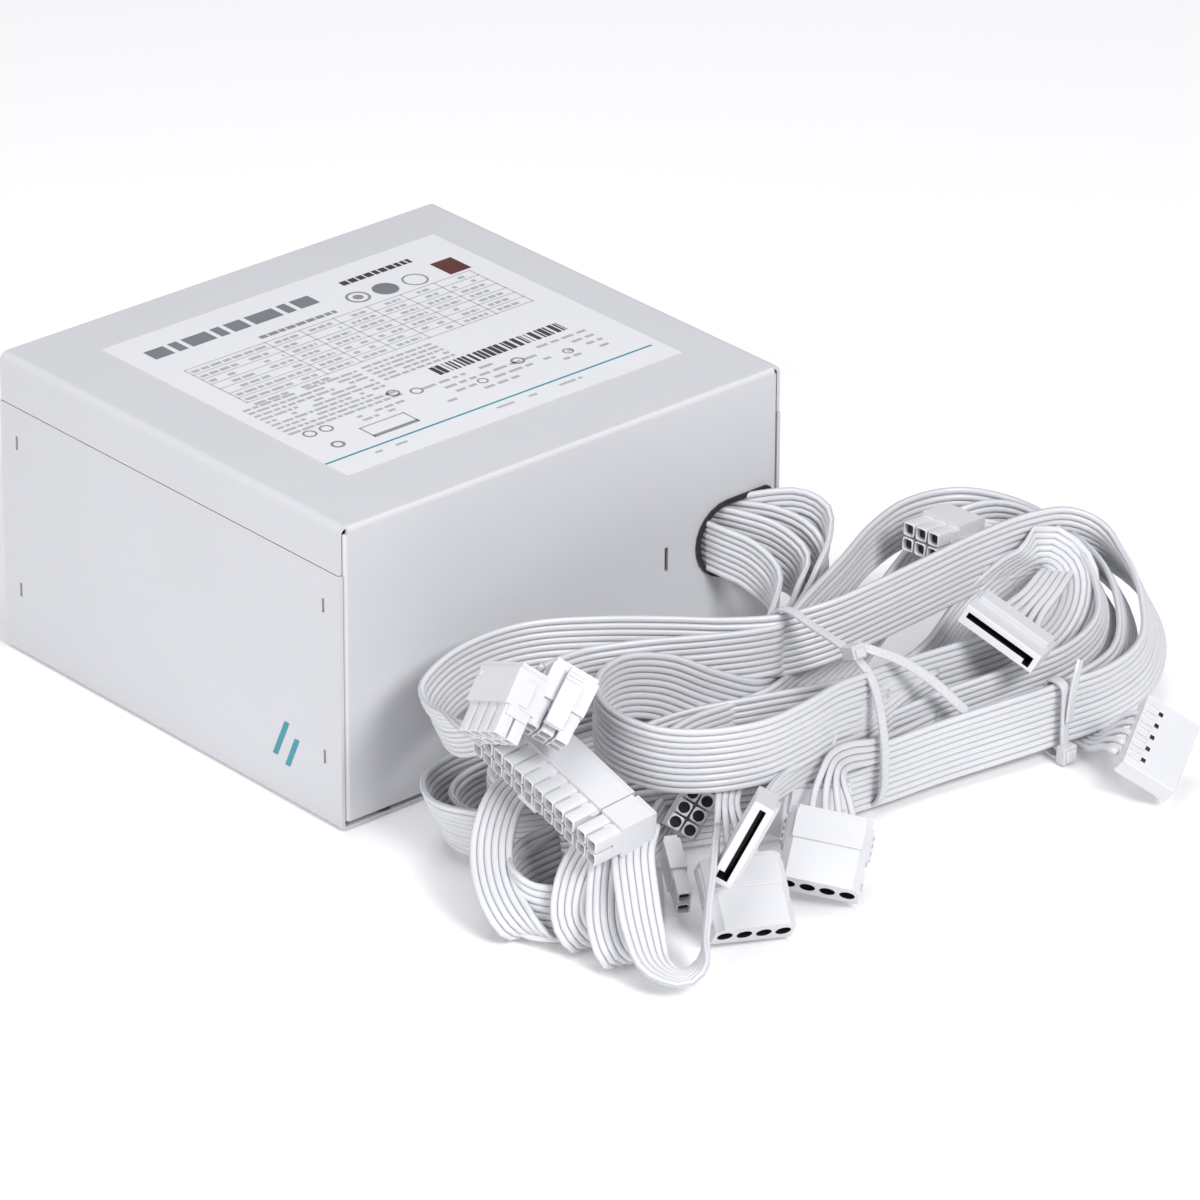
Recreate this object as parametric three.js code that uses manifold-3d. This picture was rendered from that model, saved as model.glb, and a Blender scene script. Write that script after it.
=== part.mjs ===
// An ATX power supply unit with its tied bundle of flat cables.
//
// Millimetres, +Z up. The origin is the bottom centre of the case, which stands on its fan side.
// +X runs along the 150 mm width and -Y is the face that the cables leave.

import * as THREE from 'three';
import { mergeVertices } from 'three/addons/utils/BufferGeometryUtils.js';
import Module from 'manifold-3d';

const wasm = await Module();
wasm.setup();

// ---- driving dimensions ----

const GAP = 0.3; // between neighbouring pieces
const CASE = { width: 150, depth: 140, height: 86 };
const SHEET = 1.0; // steel sheet
const BEND = 2.5; // outside radius where the top turns down
const FLANGE_DEPTH = 13.5; // side flange of the tray
const PANEL_INSET = 1.3; // cable face narrower than the case, each side
const PROUD = 1.5; // how far the bushing and the inlet stand out of their faces
const RECESS = { half: 62, rise: 3 }; // pressed recess round the fan
const FAN = { size: 120, thick: 25, bore: 57.5, hub: 19, holeHalf: 52.5, blades: 9 };
const CABLE_HOLE = { left: 45.5, right: 71, low: 31.5, high: 52.5 };
const CORE = 7; // radius of the cables where they pass the case wall
const INLET = { x: 50, z: 52, width: 30.7, height: 22.7 };
const SWITCH = { x: 22, z: 52, width: 15, height: 21 };
const BOARD = { x: 68, front: -62, back: 50, top: 80, thick: 1.6 };
const PLUG = { pitch: 4.2, thick: 9.6, depth: 19, hole: 2.6, holeDepth: 8 };
const SATA = { length: 23.4, thick: 5.6, depth: 14 };
const DRIVE = { length: 21, thick: 8.5, depth: 20, pitch: 5.08, bore: 2.0 };
const HANK = { floor: 0, low: 24, mid: 29, top: 47 };
const TIE = { x: 34, width: 3.0, thick: 1.2, y: -124.5, z: 23.3, halfY: 28.5, halfZ: 23.1, power: 2.9 };
const SMALL_TIE = { x: 91, width: 3.4, thick: 1.2, front: -165, back: -149, low: 0.3, high: 21.5 };

const HALF_W = CASE.width / 2;
const HALF_D = CASE.depth / 2;
const FAN_BASE = RECESS.rise + SHEET + GAP;
const FAN_TOP = FAN_BASE + FAN.thick;
const BOARD_LOW = BOARD.top - BOARD.thick;

// ---- materials ----

function finish(color, roughness, metalness = 0) {
  return new THREE.MeshStandardMaterial({ color, roughness, metalness });
}

const LOOK = {
  whitePaint: finish(0xdcdde1, 0.55),
  label: finish(0xe4e5e8, 0.6),
  black: finish(0x18191b, 0.5),
  steel: finish(0xb9bcc0, 0.35, 0.9),
  aluminium: finish(0xa9adb2, 0.45, 0.8),
  board: finish(0x2d5a36, 0.6),
  clear: finish(0xe8e4d4, 0.5),
  sleeve: finish(0x20242c, 0.4),
  ferrite: finish(0x3a3b3d, 0.7),
  yellow: finish(0xd8b83a, 0.5),
  core: finish(0x3f6b4a, 0.6),
  copper: finish(0xb5713a, 0.35, 0.7),
  wire: finish(0xe6e7eb, 0.45),
  plug: finish(0xe9eaee, 0.4),
  nylon: finish(0xeef0f3, 0.35),
};

// ---- solids: joining and cutting ----

function toSolid(geometry) {
  const bare = geometry.clone();
  for (const name of Object.keys(bare.attributes)) {
    if (name !== 'position') bare.deleteAttribute(name);
  }
  const merged = mergeVertices(bare, 1e-4);
  return new wasm.Manifold(new wasm.Mesh({
    numProp: 3,
    vertProperties: new Float32Array(merged.attributes.position.array),
    triVerts: new Uint32Array(merged.index.array),
  }));
}

function toGeometry(body) {
  const mesh = body.getMesh();
  const geometry = new THREE.BufferGeometry();
  geometry.setAttribute('position', new THREE.BufferAttribute(mesh.vertProperties, 3));
  geometry.setIndex(new THREE.BufferAttribute(mesh.triVerts, 1));
  geometry.computeVertexNormals();
  return geometry;
}

function join(...bodies) {
  return bodies.reduce((whole, body) => whole.add(body));
}

function cut(body, ...tools) {
  return tools.reduce((left, tool) => left.subtract(tool), body);
}

// ---- solids: shapes ----

function block(x0, x1, y0, y1, z0, z1) {
  const box = new THREE.BoxGeometry(x1 - x0, y1 - y0, z1 - z0);
  box.translate((x0 + x1) / 2, (y0 + y1) / 2, (z0 + z1) / 2);
  return toSolid(box);
}

function rodZ(x, y, radius, z0, z1, sides = 24) {
  const rod = new THREE.CylinderGeometry(radius, radius, z1 - z0, sides);
  rod.rotateX(Math.PI / 2);
  rod.translate(x, y, (z0 + z1) / 2);
  return toSolid(rod);
}

function rodY(x, z, radius, y0, y1, sides = 16) {
  const rod = new THREE.CylinderGeometry(radius, radius, y1 - y0, sides);
  rod.translate(x, (y0 + y1) / 2, z);
  return toSolid(rod);
}

function rodX(y, z, radius, x0, x1, sides = 24) {
  const rod = new THREE.CylinderGeometry(radius, radius, x1 - x0, sides);
  rod.rotateZ(Math.PI / 2);
  rod.translate((x0 + x1) / 2, y, z);
  return toSolid(rod);
}

function flat(shape, depth, curveSegments) {
  return new THREE.ExtrudeGeometry(shape, { depth, bevelEnabled: false, curveSegments });
}

// A shape drawn in (x, y), standing from z0 to z1.
function prismZ(shape, z0, z1, curveSegments = 6) {
  const geometry = flat(shape, z1 - z0, curveSegments);
  geometry.translate(0, 0, z0);
  return toSolid(geometry);
}

// A shape drawn in (y, z), running from x0 to x1.
function prismX(shape, x0, x1, curveSegments = 6) {
  const geometry = flat(shape, x1 - x0, curveSegments);
  const turn = new THREE.Matrix4().makeBasis(
    new THREE.Vector3(0, 1, 0), new THREE.Vector3(0, 0, 1), new THREE.Vector3(1, 0, 0));
  geometry.applyMatrix4(turn);
  geometry.translate(x0, 0, 0);
  return toSolid(geometry);
}

// A shape drawn in (x, z), running from y1 back to y0.
function prismY(shape, y0, y1, curveSegments = 6) {
  const geometry = flat(shape, y1 - y0, curveSegments);
  const turn = new THREE.Matrix4().makeBasis(
    new THREE.Vector3(1, 0, 0), new THREE.Vector3(0, 0, 1), new THREE.Vector3(0, -1, 0));
  geometry.applyMatrix4(turn);
  geometry.translate(0, y1, 0);
  return toSolid(geometry);
}

function roundRect(u0, u1, v0, v1, radius) {
  const shape = new THREE.Shape();
  shape.moveTo(u0 + radius, v0);
  shape.lineTo(u1 - radius, v0);
  shape.absarc(u1 - radius, v0 + radius, radius, -Math.PI / 2, 0, false);
  shape.lineTo(u1, v1 - radius);
  shape.absarc(u1 - radius, v1 - radius, radius, 0, Math.PI / 2, false);
  shape.lineTo(u0 + radius, v1);
  shape.absarc(u0 + radius, v1 - radius, radius, Math.PI / 2, Math.PI, false);
  shape.lineTo(u0, v0 + radius);
  shape.absarc(u0 + radius, v0 + radius, radius, Math.PI, Math.PI * 1.5, false);
  return shape;
}

function polygon(points) {
  return new THREE.Shape(points.map(([u, v]) => new THREE.Vector2(u, v)));
}

// The section of a folded sheet. The points follow its outside face clockwise.
function foldedSheet(points, thick, radius) {
  const path = points.map(([u, v]) => new THREE.Vector2(u, v));
  const shape = new THREE.Shape();
  const bends = [];
  for (let i = 1; i < path.length - 1; i += 1) {
    const before = path[i].clone().sub(path[i - 1]).normalize();
    const after = path[i + 1].clone().sub(path[i]).normalize();
    const centre = path[i].clone().addScaledVector(before, -radius).addScaledVector(after, radius);
    bends.push({ centre, from: Math.atan2(-after.y, -after.x), to: Math.atan2(before.y, before.x) });
  }
  const last = path.length - 1;
  const startDir = path[1].clone().sub(path[0]).normalize();
  const endDir = path[last].clone().sub(path[last - 1]).normalize();
  shape.moveTo(path[0].x, path[0].y);
  const { centre, from } = bends[0];
  shape.lineTo(centre.x + radius * Math.cos(from), centre.y + radius * Math.sin(from));
  for (const bend of bends) {
    shape.absarc(bend.centre.x, bend.centre.y, radius, bend.from, bend.to, true);
  }
  shape.lineTo(path[last].x, path[last].y);
  shape.lineTo(path[last].x + endDir.y * thick, path[last].y - endDir.x * thick);
  for (const bend of bends.reverse()) {
    shape.absarc(bend.centre.x, bend.centre.y, radius - thick, bend.to, bend.from, false);
  }
  shape.lineTo(path[0].x + startDir.y * thick, path[0].y - startDir.x * thick);
  return shape;
}

// A tube of plain round section along a route of points.
function tube(points, radius, sides, steps) {
  const route = new THREE.CatmullRomCurve3(points.map((point) => new THREE.Vector3(...point)));
  const section = new THREE.Shape();
  section.absarc(0, 0, radius, 0, Math.PI * 2, false);
  const geometry = new THREE.ExtrudeGeometry(section, {
    steps, extrudePath: route, curveSegments: sides / 2, bevelEnabled: false,
  });
  return toSolid(geometry);
}

function smoothOutline(points) {
  const curve = new THREE.SplineCurve(points.map(([x, y]) => new THREE.Vector2(x, y)));
  return new THREE.Shape(curve.getPoints(points.length * 2));
}

// ---- the group ----

const group = new THREE.Group();

function place(name, body, material, where) {
  const mesh = new THREE.Mesh(toGeometry(body), material);
  mesh.name = name;
  if (where) mesh.applyMatrix4(where);
  group.add(mesh);
  return mesh;
}

// ---- case: tray with label panel, cable face and AC face ----

function cableHole(grow) {
  const { left, right, low, high } = CABLE_HOLE;
  const radius = (high - low) / 2 + grow;
  const middle = (high + low) / 2;
  const corner = 2 + grow;
  const shape = new THREE.Shape();
  shape.moveTo(left - grow + radius, low - grow);
  shape.lineTo(right + grow - corner, low - grow);
  shape.absarc(right + grow - corner, low - grow + corner, corner, -Math.PI / 2, 0, false);
  shape.absarc(right + grow - corner, high + grow - corner, corner, 0, Math.PI / 2, false);
  shape.lineTo(left - grow + radius, high + grow);
  shape.absarc(left - grow + radius, middle, radius, Math.PI / 2, Math.PI * 1.5, false);
  return shape;
}

function honeycomb() {
  const flats = 7.2;
  const pitch = 8.4;
  const rowStep = pitch * Math.sin(Math.PI / 3);
  const columnCount = 8;
  const rowCount = 8;
  const start = { x: -62, z: 16 };
  const cells = [];
  for (let row = 0; row < rowCount; row += 1) {
    for (let column = 0; column < columnCount; column += 1) {
      const x = start.x + column * pitch + (row % 2) * pitch / 2;
      cells.push(rodY(x, start.z + row * rowStep, flats / Math.sqrt(3), HALF_D - 3, HALF_D + 3, 6));
    }
  }
  return join(...cells);
}

function makeTray() {
  const bottom = SHEET + GAP;
  const lip = 6.5;
  const inner = HALF_W - PANEL_INSET;
  const edge = 1.2;
  const hoop = prismX(foldedSheet([
    [-HALF_D + lip, bottom], [-HALF_D, bottom], [-HALF_D, CASE.height],
    [HALF_D, CASE.height], [HALF_D, bottom], [HALF_D - lip, bottom],
  ], SHEET, 2), -inner + edge, inner - edge, 4);
  const top = prismY(foldedSheet([
    [-HALF_W, CASE.height - FLANGE_DEPTH], [-HALF_W, CASE.height],
    [HALF_W, CASE.height], [HALF_W, CASE.height - FLANGE_DEPTH],
  ], SHEET, BEND), -HALF_D + 0.7, HALF_D - 0.7, 4);
  const wing = 10;
  const panelTop = CASE.height - 2.4;
  const front = prismZ(foldedSheet([
    [inner, -HALF_D + wing], [inner, -HALF_D], [-inner, -HALF_D], [-inner, -HALF_D + wing],
  ], SHEET, edge + 0.05), bottom + 1.2, panelTop, 4);
  const rear = prismZ(foldedSheet([
    [-inner, HALF_D - wing], [-inner, HALF_D], [inner, HALF_D], [inner, HALF_D - wing],
  ], SHEET, edge + 0.05), bottom + 1.2, panelTop, 4);
  const wingClear = CASE.height - FLANGE_DEPTH - 2.5;
  const clears = [-1, 1].flatMap((side) => [-1, 1].map((end) => {
    const x = side * (inner - SHEET / 2);
    const y = end * (HALF_D - wing / 2 - 1);
    return block(x - 1, x + 1, y - wing / 2, y + wing / 2, wingClear, panelTop + 1);
  }));
  const folded = cut(join(hoop, top, front, rear), ...clears);
  return cut(folded, ...trayOpenings());
}

function trayOpenings() {
  const through = 3;
  const screwHoles = [[69, 80], [-69, 80], [69, 16], [-45, 6]].map(
    ([x, z]) => rodY(x, z, 1.85, HALF_D - through, HALF_D + through, 12));
  const coverHoles = coverScrewPlaces().map(([x, y]) => rodZ(x, y, 1.7, 0, 4, 12));
  const slot = block(34.4, 35.6, -HALF_D - through, -HALF_D + through, 38.5, 45.5);
  const cables = prismY(cableHole(0), -HALF_D - through, -HALF_D + through, 6);
  const inletCut = block(INLET.x - 13.6, INLET.x + 13.6, HALF_D - through, HALF_D + through,
    INLET.z - 10, INLET.z + 10);
  const switchCut = block(SWITCH.x - 6.4, SWITCH.x + 6.4, HALF_D - through, HALF_D + through,
    SWITCH.z - 9.4, SWITCH.z + 9.4);
  return [...screwHoles, ...coverHoles, slot, cables, inletCut, switchCut, honeycomb()];
}

function coverScrewPlaces() {
  return [[-60, -66.5], [60, -66.5], [60, 66.5], [-60, 66.5]];
}

// ---- case: fan cover ----

function makeFanCover() {
  const end = HALF_D - 0.3;
  const side = CASE.height - FLANGE_DEPTH - GAP;
  const shell = prismY(foldedSheet([
    [HALF_W, side], [HALF_W, 0], [-HALF_W, 0], [-HALF_W, side],
  ], SHEET, 1.6), -end, end, 4);
  const { half, rise } = RECESS;
  const pan = block(-half - SHEET, half + SHEET, -half - SHEET, half + SHEET, 0, rise + SHEET);
  const well = block(-half, half, -half, half, -1, rise);
  const tabs = [-1, 1].map((sign) => {
    const outer = HALF_W - PANEL_INSET;
    const tongue = block(outer - SHEET, outer, -58, 58, side - 4, CASE.height - 4);
    const step = block(outer - SHEET, HALF_W - 0.5, -58, 58, side - 4, side - 2.5);
    const tab = join(tongue, step);
    return sign > 0 ? tab : tab.mirror([1, 0, 0]);
  });
  const openings = [rodZ(0, 0, FAN.bore + 0.5, 0, 6, 64)];
  for (const [x, y] of fanCorners()) {
    openings.push(rodZ(x, y, 2.4, 0, 6, 12));
  }
  for (const [x, y] of coverScrewPlaces()) {
    openings.push(rodZ(x, y, 3.1, -1, 2, 16));
  }
  for (const x of [-HALF_W, HALF_W]) {
    for (const y of [-63, 63]) {
      for (const z of [19, 62]) {
        openings.push(block(x - 2, x + 2, y - 0.5, y + 0.5, z - 2, z + 2));
      }
    }
  }
  return cut(join(shell, pan, ...tabs), well, ...openings);
}

function fanCorners() {
  const at = FAN.holeHalf;
  return [[-at, -at], [at, -at], [at, at], [-at, at]];
}

function makeCoverScrew(x, y) {
  const head = rodZ(x, y, 2.8, 0.2, 1.1, 16);
  const shank = rodZ(x, y, 1.4, 1, 6, 12);
  const drive = join(block(x - 1.6, x + 1.6, y - 0.4, y + 0.4, 0, 0.7),
    block(x - 0.4, x + 0.4, y - 1.6, y + 1.6, 0, 0.7));
  return cut(join(head, shank), drive);
}

// ---- fan ----

function makeFanFrame() {
  const half = FAN.size / 2;
  const plate = roundRect(-half, half, -half, half, 6);
  const flange = 3.5;
  const low = prismZ(plate, FAN_BASE, FAN_BASE + flange, 3);
  const high = prismZ(plate, FAN_TOP - flange, FAN_TOP, 3);
  const duct = rodZ(0, 0, half - 0.4, FAN_BASE + 1, FAN_TOP - 1, 48);
  const bore = rodZ(0, 0, FAN.bore, FAN_BASE - 1, FAN_TOP + 1, 48);
  const holes = fanCorners().map(([x, y]) => rodZ(x, y, 2.2, FAN_BASE - 1, FAN_TOP + 1, 12));
  const shell = cut(join(low, high, duct), bore, ...holes);
  const hub = rodZ(0, 0, FAN.hub, FAN_TOP - 3, FAN_TOP, 32);
  const post = rodZ(0, 0, 2.8, FAN_BASE + 7, FAN_TOP - 1, 12);
  const struts = [0, 1, 2, 3].map((i) => {
    const bar = block(FAN.hub - 2, FAN.bore + 1.5, -2, 2, FAN_TOP - 3, FAN_TOP);
    return bar.rotate([0, 0, 90 * i + 20]);
  });
  return join(shell, hub, post, ...struts);
}

// One blade as a ladder of four-cornered sections from the hub to the tip.
function makeBlade() {
  const sections = 6;
  const inner = FAN.hub - 1.5;
  const outer = FAN.bore - 1.5;
  const positions = [];
  for (let i = 0; i <= sections; i += 1) {
    const t = i / sections;
    const radius = inner + (outer - inner) * t;
    const sweep = 0.34 * t;
    const chord = 11 + 9 * t;
    const pitch = THREE.MathUtils.degToRad(46 - 18 * t);
    const along = new THREE.Vector2(Math.cos(pitch), Math.sin(pitch)).multiplyScalar(chord / 2);
    const normal = new THREE.Vector2(-Math.sin(pitch), Math.cos(pitch)).multiplyScalar(0.7);
    const corners = [
      along.clone().add(normal), along.clone().negate().add(normal),
      along.clone().negate().sub(normal), along.clone().sub(normal),
    ];
    const middle = FAN_BASE + 11;
    for (const corner of corners) {
      const angle = sweep + corner.x / radius;
      positions.push(radius * Math.cos(angle), radius * Math.sin(angle), middle + corner.y);
    }
  }
  const index = [0, 2, 1, 0, 3, 2];
  for (let i = 0; i < sections; i += 1) {
    for (let j = 0; j < 4; j += 1) {
      const a = i * 4 + j;
      const b = i * 4 + (j + 1) % 4;
      index.push(a, b, b + 4, a, b + 4, a + 4);
    }
  }
  const tip = sections * 4;
  index.push(tip, tip + 1, tip + 2, tip, tip + 2, tip + 3);
  const geometry = new THREE.BufferGeometry();
  geometry.setAttribute('position', new THREE.Float32BufferAttribute(positions, 3));
  geometry.setIndex(index);
  return toSolid(geometry);
}

function makeRotor() {
  const hub = rodZ(0, 0, FAN.hub, FAN_BASE + 0.8, FAN_TOP - 4, 32);
  const bore = rodZ(0, 0, 3.2, FAN_BASE + 6, FAN_TOP, 16);
  const blades = [];
  for (let i = 0; i < FAN.blades; i += 1) {
    blades.push(makeBlade().rotate([0, 0, 360 * i / FAN.blades]));
  }
  return cut(join(hub, ...blades), bore);
}

// The wire finger guard lies in the pressed recess, under the fan.
function makeGuard() {
  const low = 1.5;
  const high = RECESS.rise - 0.1 - GAP / 3;
  const wire = 1.6;
  const rings = [18, 30, 42, 54].map((radius) => cut(
    rodZ(0, 0, radius + wire / 2, low, high, 32), rodZ(0, 0, radius - wire / 2, low - 1, high + 1, 32)));
  const reach = FAN.holeHalf * Math.SQRT2;
  const arms = [0, 1, 2, 3].map((i) => {
    const arm = block(17.2, reach - 3, -0.9, 0.9, low, high);
    return arm.rotate([0, 0, 45 + 90 * i]);
  });
  const eyes = fanCorners().map(([x, y]) => rodZ(x, y, 4.2, low, high, 16));
  const holes = fanCorners().map(([x, y]) => rodZ(x, y, 2.4, 0, 6, 12));
  return cut(join(...rings, ...arms, ...eyes), ...holes);
}

function makeFanScrew(x, y) {
  const head = rodZ(x, y, 3.4, 0.3, 1.3, 16);
  const shank = rodZ(x, y, 1.9, 1, 12, 12);
  const drive = join(block(x - 1.8, x + 1.8, y - 0.5, y + 0.5, 0, 0.8),
    block(x - 0.5, x + 0.5, y - 1.8, y + 1.8, 0, 0.8));
  return cut(join(head, shank), drive);
}

// ---- AC face: inlet and rocker switch ----

function makeInlet() {
  const { x, z, width, height } = INLET;
  const face = HALF_D + PROUD;
  const flange = prismY(roundRect(x - width / 2, x + width / 2, z - height / 2, z + height / 2, 2.5),
    HALF_D + 0.2, face, 3);
  const body = block(x - 13.2, x + 13.2, HALF_D - 22, HALF_D + 0.5, z - 9.6, z + 9.6);
  const socket = polygon([
    [x - 12, z - 8.3], [x + 12, z - 8.3], [x + 12, z + 3.5], [x + 7.5, z + 8.3],
    [x - 7.5, z + 8.3], [x - 12, z + 3.5],
  ]);
  const cavity = prismY(socket, HALF_D - 16, face + 1);
  const pinHoles = inletPins().map(([px, pz]) => block(px - 1.5, px + 1.5, HALF_D - 23, HALF_D - 15,
    pz - 2.5, pz + 2.5));
  return cut(join(flange, body), cavity, ...pinHoles);
}

function inletPins() {
  return [[INLET.x - 7, INLET.z - 3.2], [INLET.x + 7, INLET.z - 3.2], [INLET.x, INLET.z + 3.4]];
}

function makeInletPin(x, z) {
  return block(x - 1, x + 1, HALF_D - 30, HALF_D - 3, z - 2, z + 2);
}

function makeSwitchBezel() {
  const { x, z, width, height } = SWITCH;
  const flange = prismY(roundRect(x - width / 2, x + width / 2, z - height / 2, z + height / 2, 1.5),
    HALF_D + 0.2, HALF_D + PROUD, 2);
  const body = block(x - 6, x + 6, HALF_D - 14, HALF_D + 0.5, z - 9, z + 9);
  const well = block(x - 4.8, x + 4.8, HALF_D - 9, HALF_D + 3, z - 7.8, z + 7.8);
  return cut(join(flange, body), well);
}

// The rocker is tipped to its off side at rest.
function makeRocker() {
  const pivot = HALF_D - 4.4;
  const face = new THREE.Shape();
  face.moveTo(-6.6, -2.4);
  face.lineTo(6.6, -2.4);
  face.lineTo(7.0, 4.6);
  face.quadraticCurveTo(0, 3.0, -7.0, 4.6);
  face.lineTo(-6.6, -2.4);
  const geometry = flat(face, 9, 5);
  const turn = new THREE.Matrix4().makeBasis(
    new THREE.Vector3(0, 0, 1), new THREE.Vector3(0, 1, 0), new THREE.Vector3(-1, 0, 0));
  geometry.translate(0, 0, -4.5);
  geometry.applyMatrix4(turn);
  geometry.rotateX(THREE.MathUtils.degToRad(7));
  geometry.translate(SWITCH.x, pivot, SWITCH.z);
  return toSolid(geometry);
}

// ---- electronics ----

function makeBoard() {
  const board = block(-BOARD.x, BOARD.x, BOARD.front, BOARD.back, BOARD_LOW, BOARD.top);
  const holes = standoffPlaces().map(([x, y]) => rodZ(x, y, 1.6, BOARD_LOW - 1, BOARD.top + 1, 10));
  return cut(board, ...holes);
}

function standoffPlaces() {
  return [[-63, -57], [63, -57], [63, 45], [-63, 45]];
}

function makeInsulation() {
  const sheet = block(-BOARD.x, BOARD.x, BOARD.front, BOARD.back, 82, 82.5);
  const holes = standoffPlaces().map(([x, y]) => rodZ(x, y, 3.6, 80, 84, 10));
  return cut(sheet, ...holes);
}

function makeHeatsink(x0, x1, y, height, fins) {
  const high = BOARD_LOW - GAP;
  const web = block(x0, x1, y - 1.5, y + 1.5, high - height, high);
  const bars = [];
  for (let i = 0; i < fins; i += 1) {
    const z = high - 3 - i * 5;
    bars.push(block(x0, x1, y - 8, y + 1, z - 0.8, z + 0.8));
  }
  return join(web, ...bars);
}

function makeToroid(x, y, z, outer, inner, thick, axis) {
  const make = axis === 'x' ? rodX : rodZ;
  const [p, q, r] = axis === 'x' ? [y, z, x] : [x, y, z];
  return cut(make(p, q, outer, r - thick / 2, r + thick / 2, 28),
    make(p, q, inner, r - thick, r + thick, 16));
}

function makeTransformer() {
  const high = BOARD_LOW - GAP;
  const base = block(-15, 15, -22, 18, high - 4, high);
  const coreLow = block(-17, 17, -10, 6, high - 33, high - 5);
  const neck = block(-10, 10, -8, 4, high - 6, high - 3);
  const winding = block(-12, 12, -19, 15, high - 27, high - 10);
  return join(base, coreLow, neck, winding);
}

// ---- cable bushing and cords ----

function makeBushing() {
  const inside = cableHole(-0.9);
  const ring = (grow, y0, y1) => cut(prismY(cableHole(grow), y0, y1, 6),
    prismY(inside, y0 - 1, y1 + 1, 6));
  return join(
    ring(-GAP, -HALF_D - 0.6, -HALF_D + 2.6),
    ring(0.5, -HALF_D - 0.8, -HALF_D - GAP),
    ring(1.2, -HALF_D + SHEET + GAP, -HALF_D + SHEET + GAP + 1.2));
}

function makeHarness() {
  return tube([[28, -30, 62], [34, -34, 50], [47, -42, 43], [55, -51, 42], [56, -58, 42],
    [56, -64.5, 42]], CORE, 10, 15);
}

// Where the cables leave the case and bend round to the hank.
const FAN_OUT = [[56, -65, 42], [56, -72, 42], [58, -80, 39], [61, -87, 34.5], [62, -92, 33],
  [62, -97.8, 33]];

function makeFanOut() {
  return tube(FAN_OUT, CORE, 10, 14);
}

// The waist of the bundle inside the tie.
function waistShape(spare) {
  const points = [];
  const count = 36;
  for (let i = 0; i < count; i += 1) {
    const angle = Math.PI * 2 * i / count;
    const c = Math.cos(angle);
    const s = Math.sin(angle);
    const y = Math.sign(c) * Math.abs(c) ** (2 / TIE.power) * (TIE.halfY - spare);
    const z = Math.sign(s) * Math.abs(s) ** (2 / TIE.power) * (TIE.halfZ - spare);
    points.push([TIE.y + y, TIE.z + z]);
  }
  return polygon(points);
}

function makeHank() {
  const rightLobe = [
    [33, -151], [60, -157], [95, -164], [120, -164], [137, -152], [144, -134], [139, -114],
    [124, -101], [100, -96], [72, -100], [45, -101], [12, -97],
  ];
  const leftBack = [[-25, -89], [-58, -85], [-72, -92], [-78, -104]];
  const lower = prismZ(smoothOutline([
    ...leftBack, [-84, -124], [-87, -150], [-85, -176], [-76, -192], [-63, -194], [-54, -182],
    [-51, -166], [-50, -148], [-44, -134], [-20, -130.5], [5, -135], [20, -148], ...rightLobe,
  ]), HANK.floor, HANK.low);
  const upper = prismZ(smoothOutline([
    ...leftBack, [-74, -109], [-50, -110.5], [-30, -120], [-10, -130], [10, -140], ...rightLobe,
  ]), HANK.low - 1, HANK.top);
  const frontLoop = prismZ(smoothOutline([
    [-40, -108], [-47, -122], [-46, -142], [-38, -158], [-15, -166], [12, -160], [33, -151],
    [25, -110], [0, -104],
  ]), HANK.mid, HANK.top);
  const body = join(lower, upper, frontLoop);
  const plugRoom = block(70, 96, -175, -134, 25, 60);
  const backPlugRoom = block(84, 109, -121, -101.5, 38.5, 60);
  const exitRoom = block(48, 80, -98.2, -60, 10, 60);
  const headRoom = block(TIE.x - 3.4, TIE.x + 3.4, -139.4, -131.6, 43.6, 60);
  return cut(body, plugRoom, backPlugRoom, exitRoom, headRoom, tieRoom(), smallTieRoom());
}

function tieRoom() {
  const half = TIE.width / 2 + 0.5;
  const slab = block(TIE.x - half, TIE.x + half, -200, -60, -5, 70);
  return cut(slab, prismX(waistShape(TIE.thick + 0.4), TIE.x - half, TIE.x + half));
}

function makeTie() {
  const half = TIE.width / 2;
  const ring = cut(prismX(waistShape(0), TIE.x - half, TIE.x + half),
    prismX(waistShape(TIE.thick), TIE.x - half - 1, TIE.x + half + 1));
  const head = block(TIE.x - 3, TIE.x + 3, -139, -132, 44, 49.5);
  const tail = prismY(polygon([
    [TIE.x + 1, 47.6], [TIE.x + 12, 49], [TIE.x + 22, 48.6], [TIE.x + 32, 47.4],
    [TIE.x + 32, 48.6], [TIE.x + 22, 49.8], [TIE.x + 12, 50.2], [TIE.x + 1, 48.8],
  ]), -137.5, -133.5);
  return join(ring, head, tail);
}

function smallTieRoom() {
  const { x, width, front, back, low, high, thick } = SMALL_TIE;
  const half = width / 2 + 0.4;
  const outer = block(x - half, x + half, front - 4, back + 0.4, low - 3, high + 0.4);
  const keep = block(x - half, x + half, front + thick + 0.4, back - thick - 0.4, low + thick + 0.4,
    high - thick - 0.4);
  return cut(outer, keep);
}

function makeSmallTie() {
  const { x, width, front, back, low, high, thick } = SMALL_TIE;
  const half = width / 2;
  const outer = block(x - half, x + half, front, back, low, high);
  const inner = block(x - half - 1, x + half + 1, front + thick, back - thick, low + thick, high - thick);
  const head = block(x - 2.6, x + 2.6, front - 3.5, front + 0.5, low, low + 5);
  const tail = block(x - half, x + half, front - 1.6, front - 0.4, low + 4, high + 6);
  return join(cut(outer, inner), head, tail);
}

// ---- plugs ----
// Each is built with its mating face on the plane w = 0, facing +w, its rows along u and its
// thickness along v. Then it is turned so that +w is the way it mates.

function pose(at, mate, row) {
  const w = new THREE.Vector3(...mate).normalize();
  const u = new THREE.Vector3(...row);
  u.addScaledVector(w, -u.dot(w)).normalize();
  const v = new THREE.Vector3().crossVectors(w, u);
  return new THREE.Matrix4().makeBasis(u, v, w).setPosition(...at);
}

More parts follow.
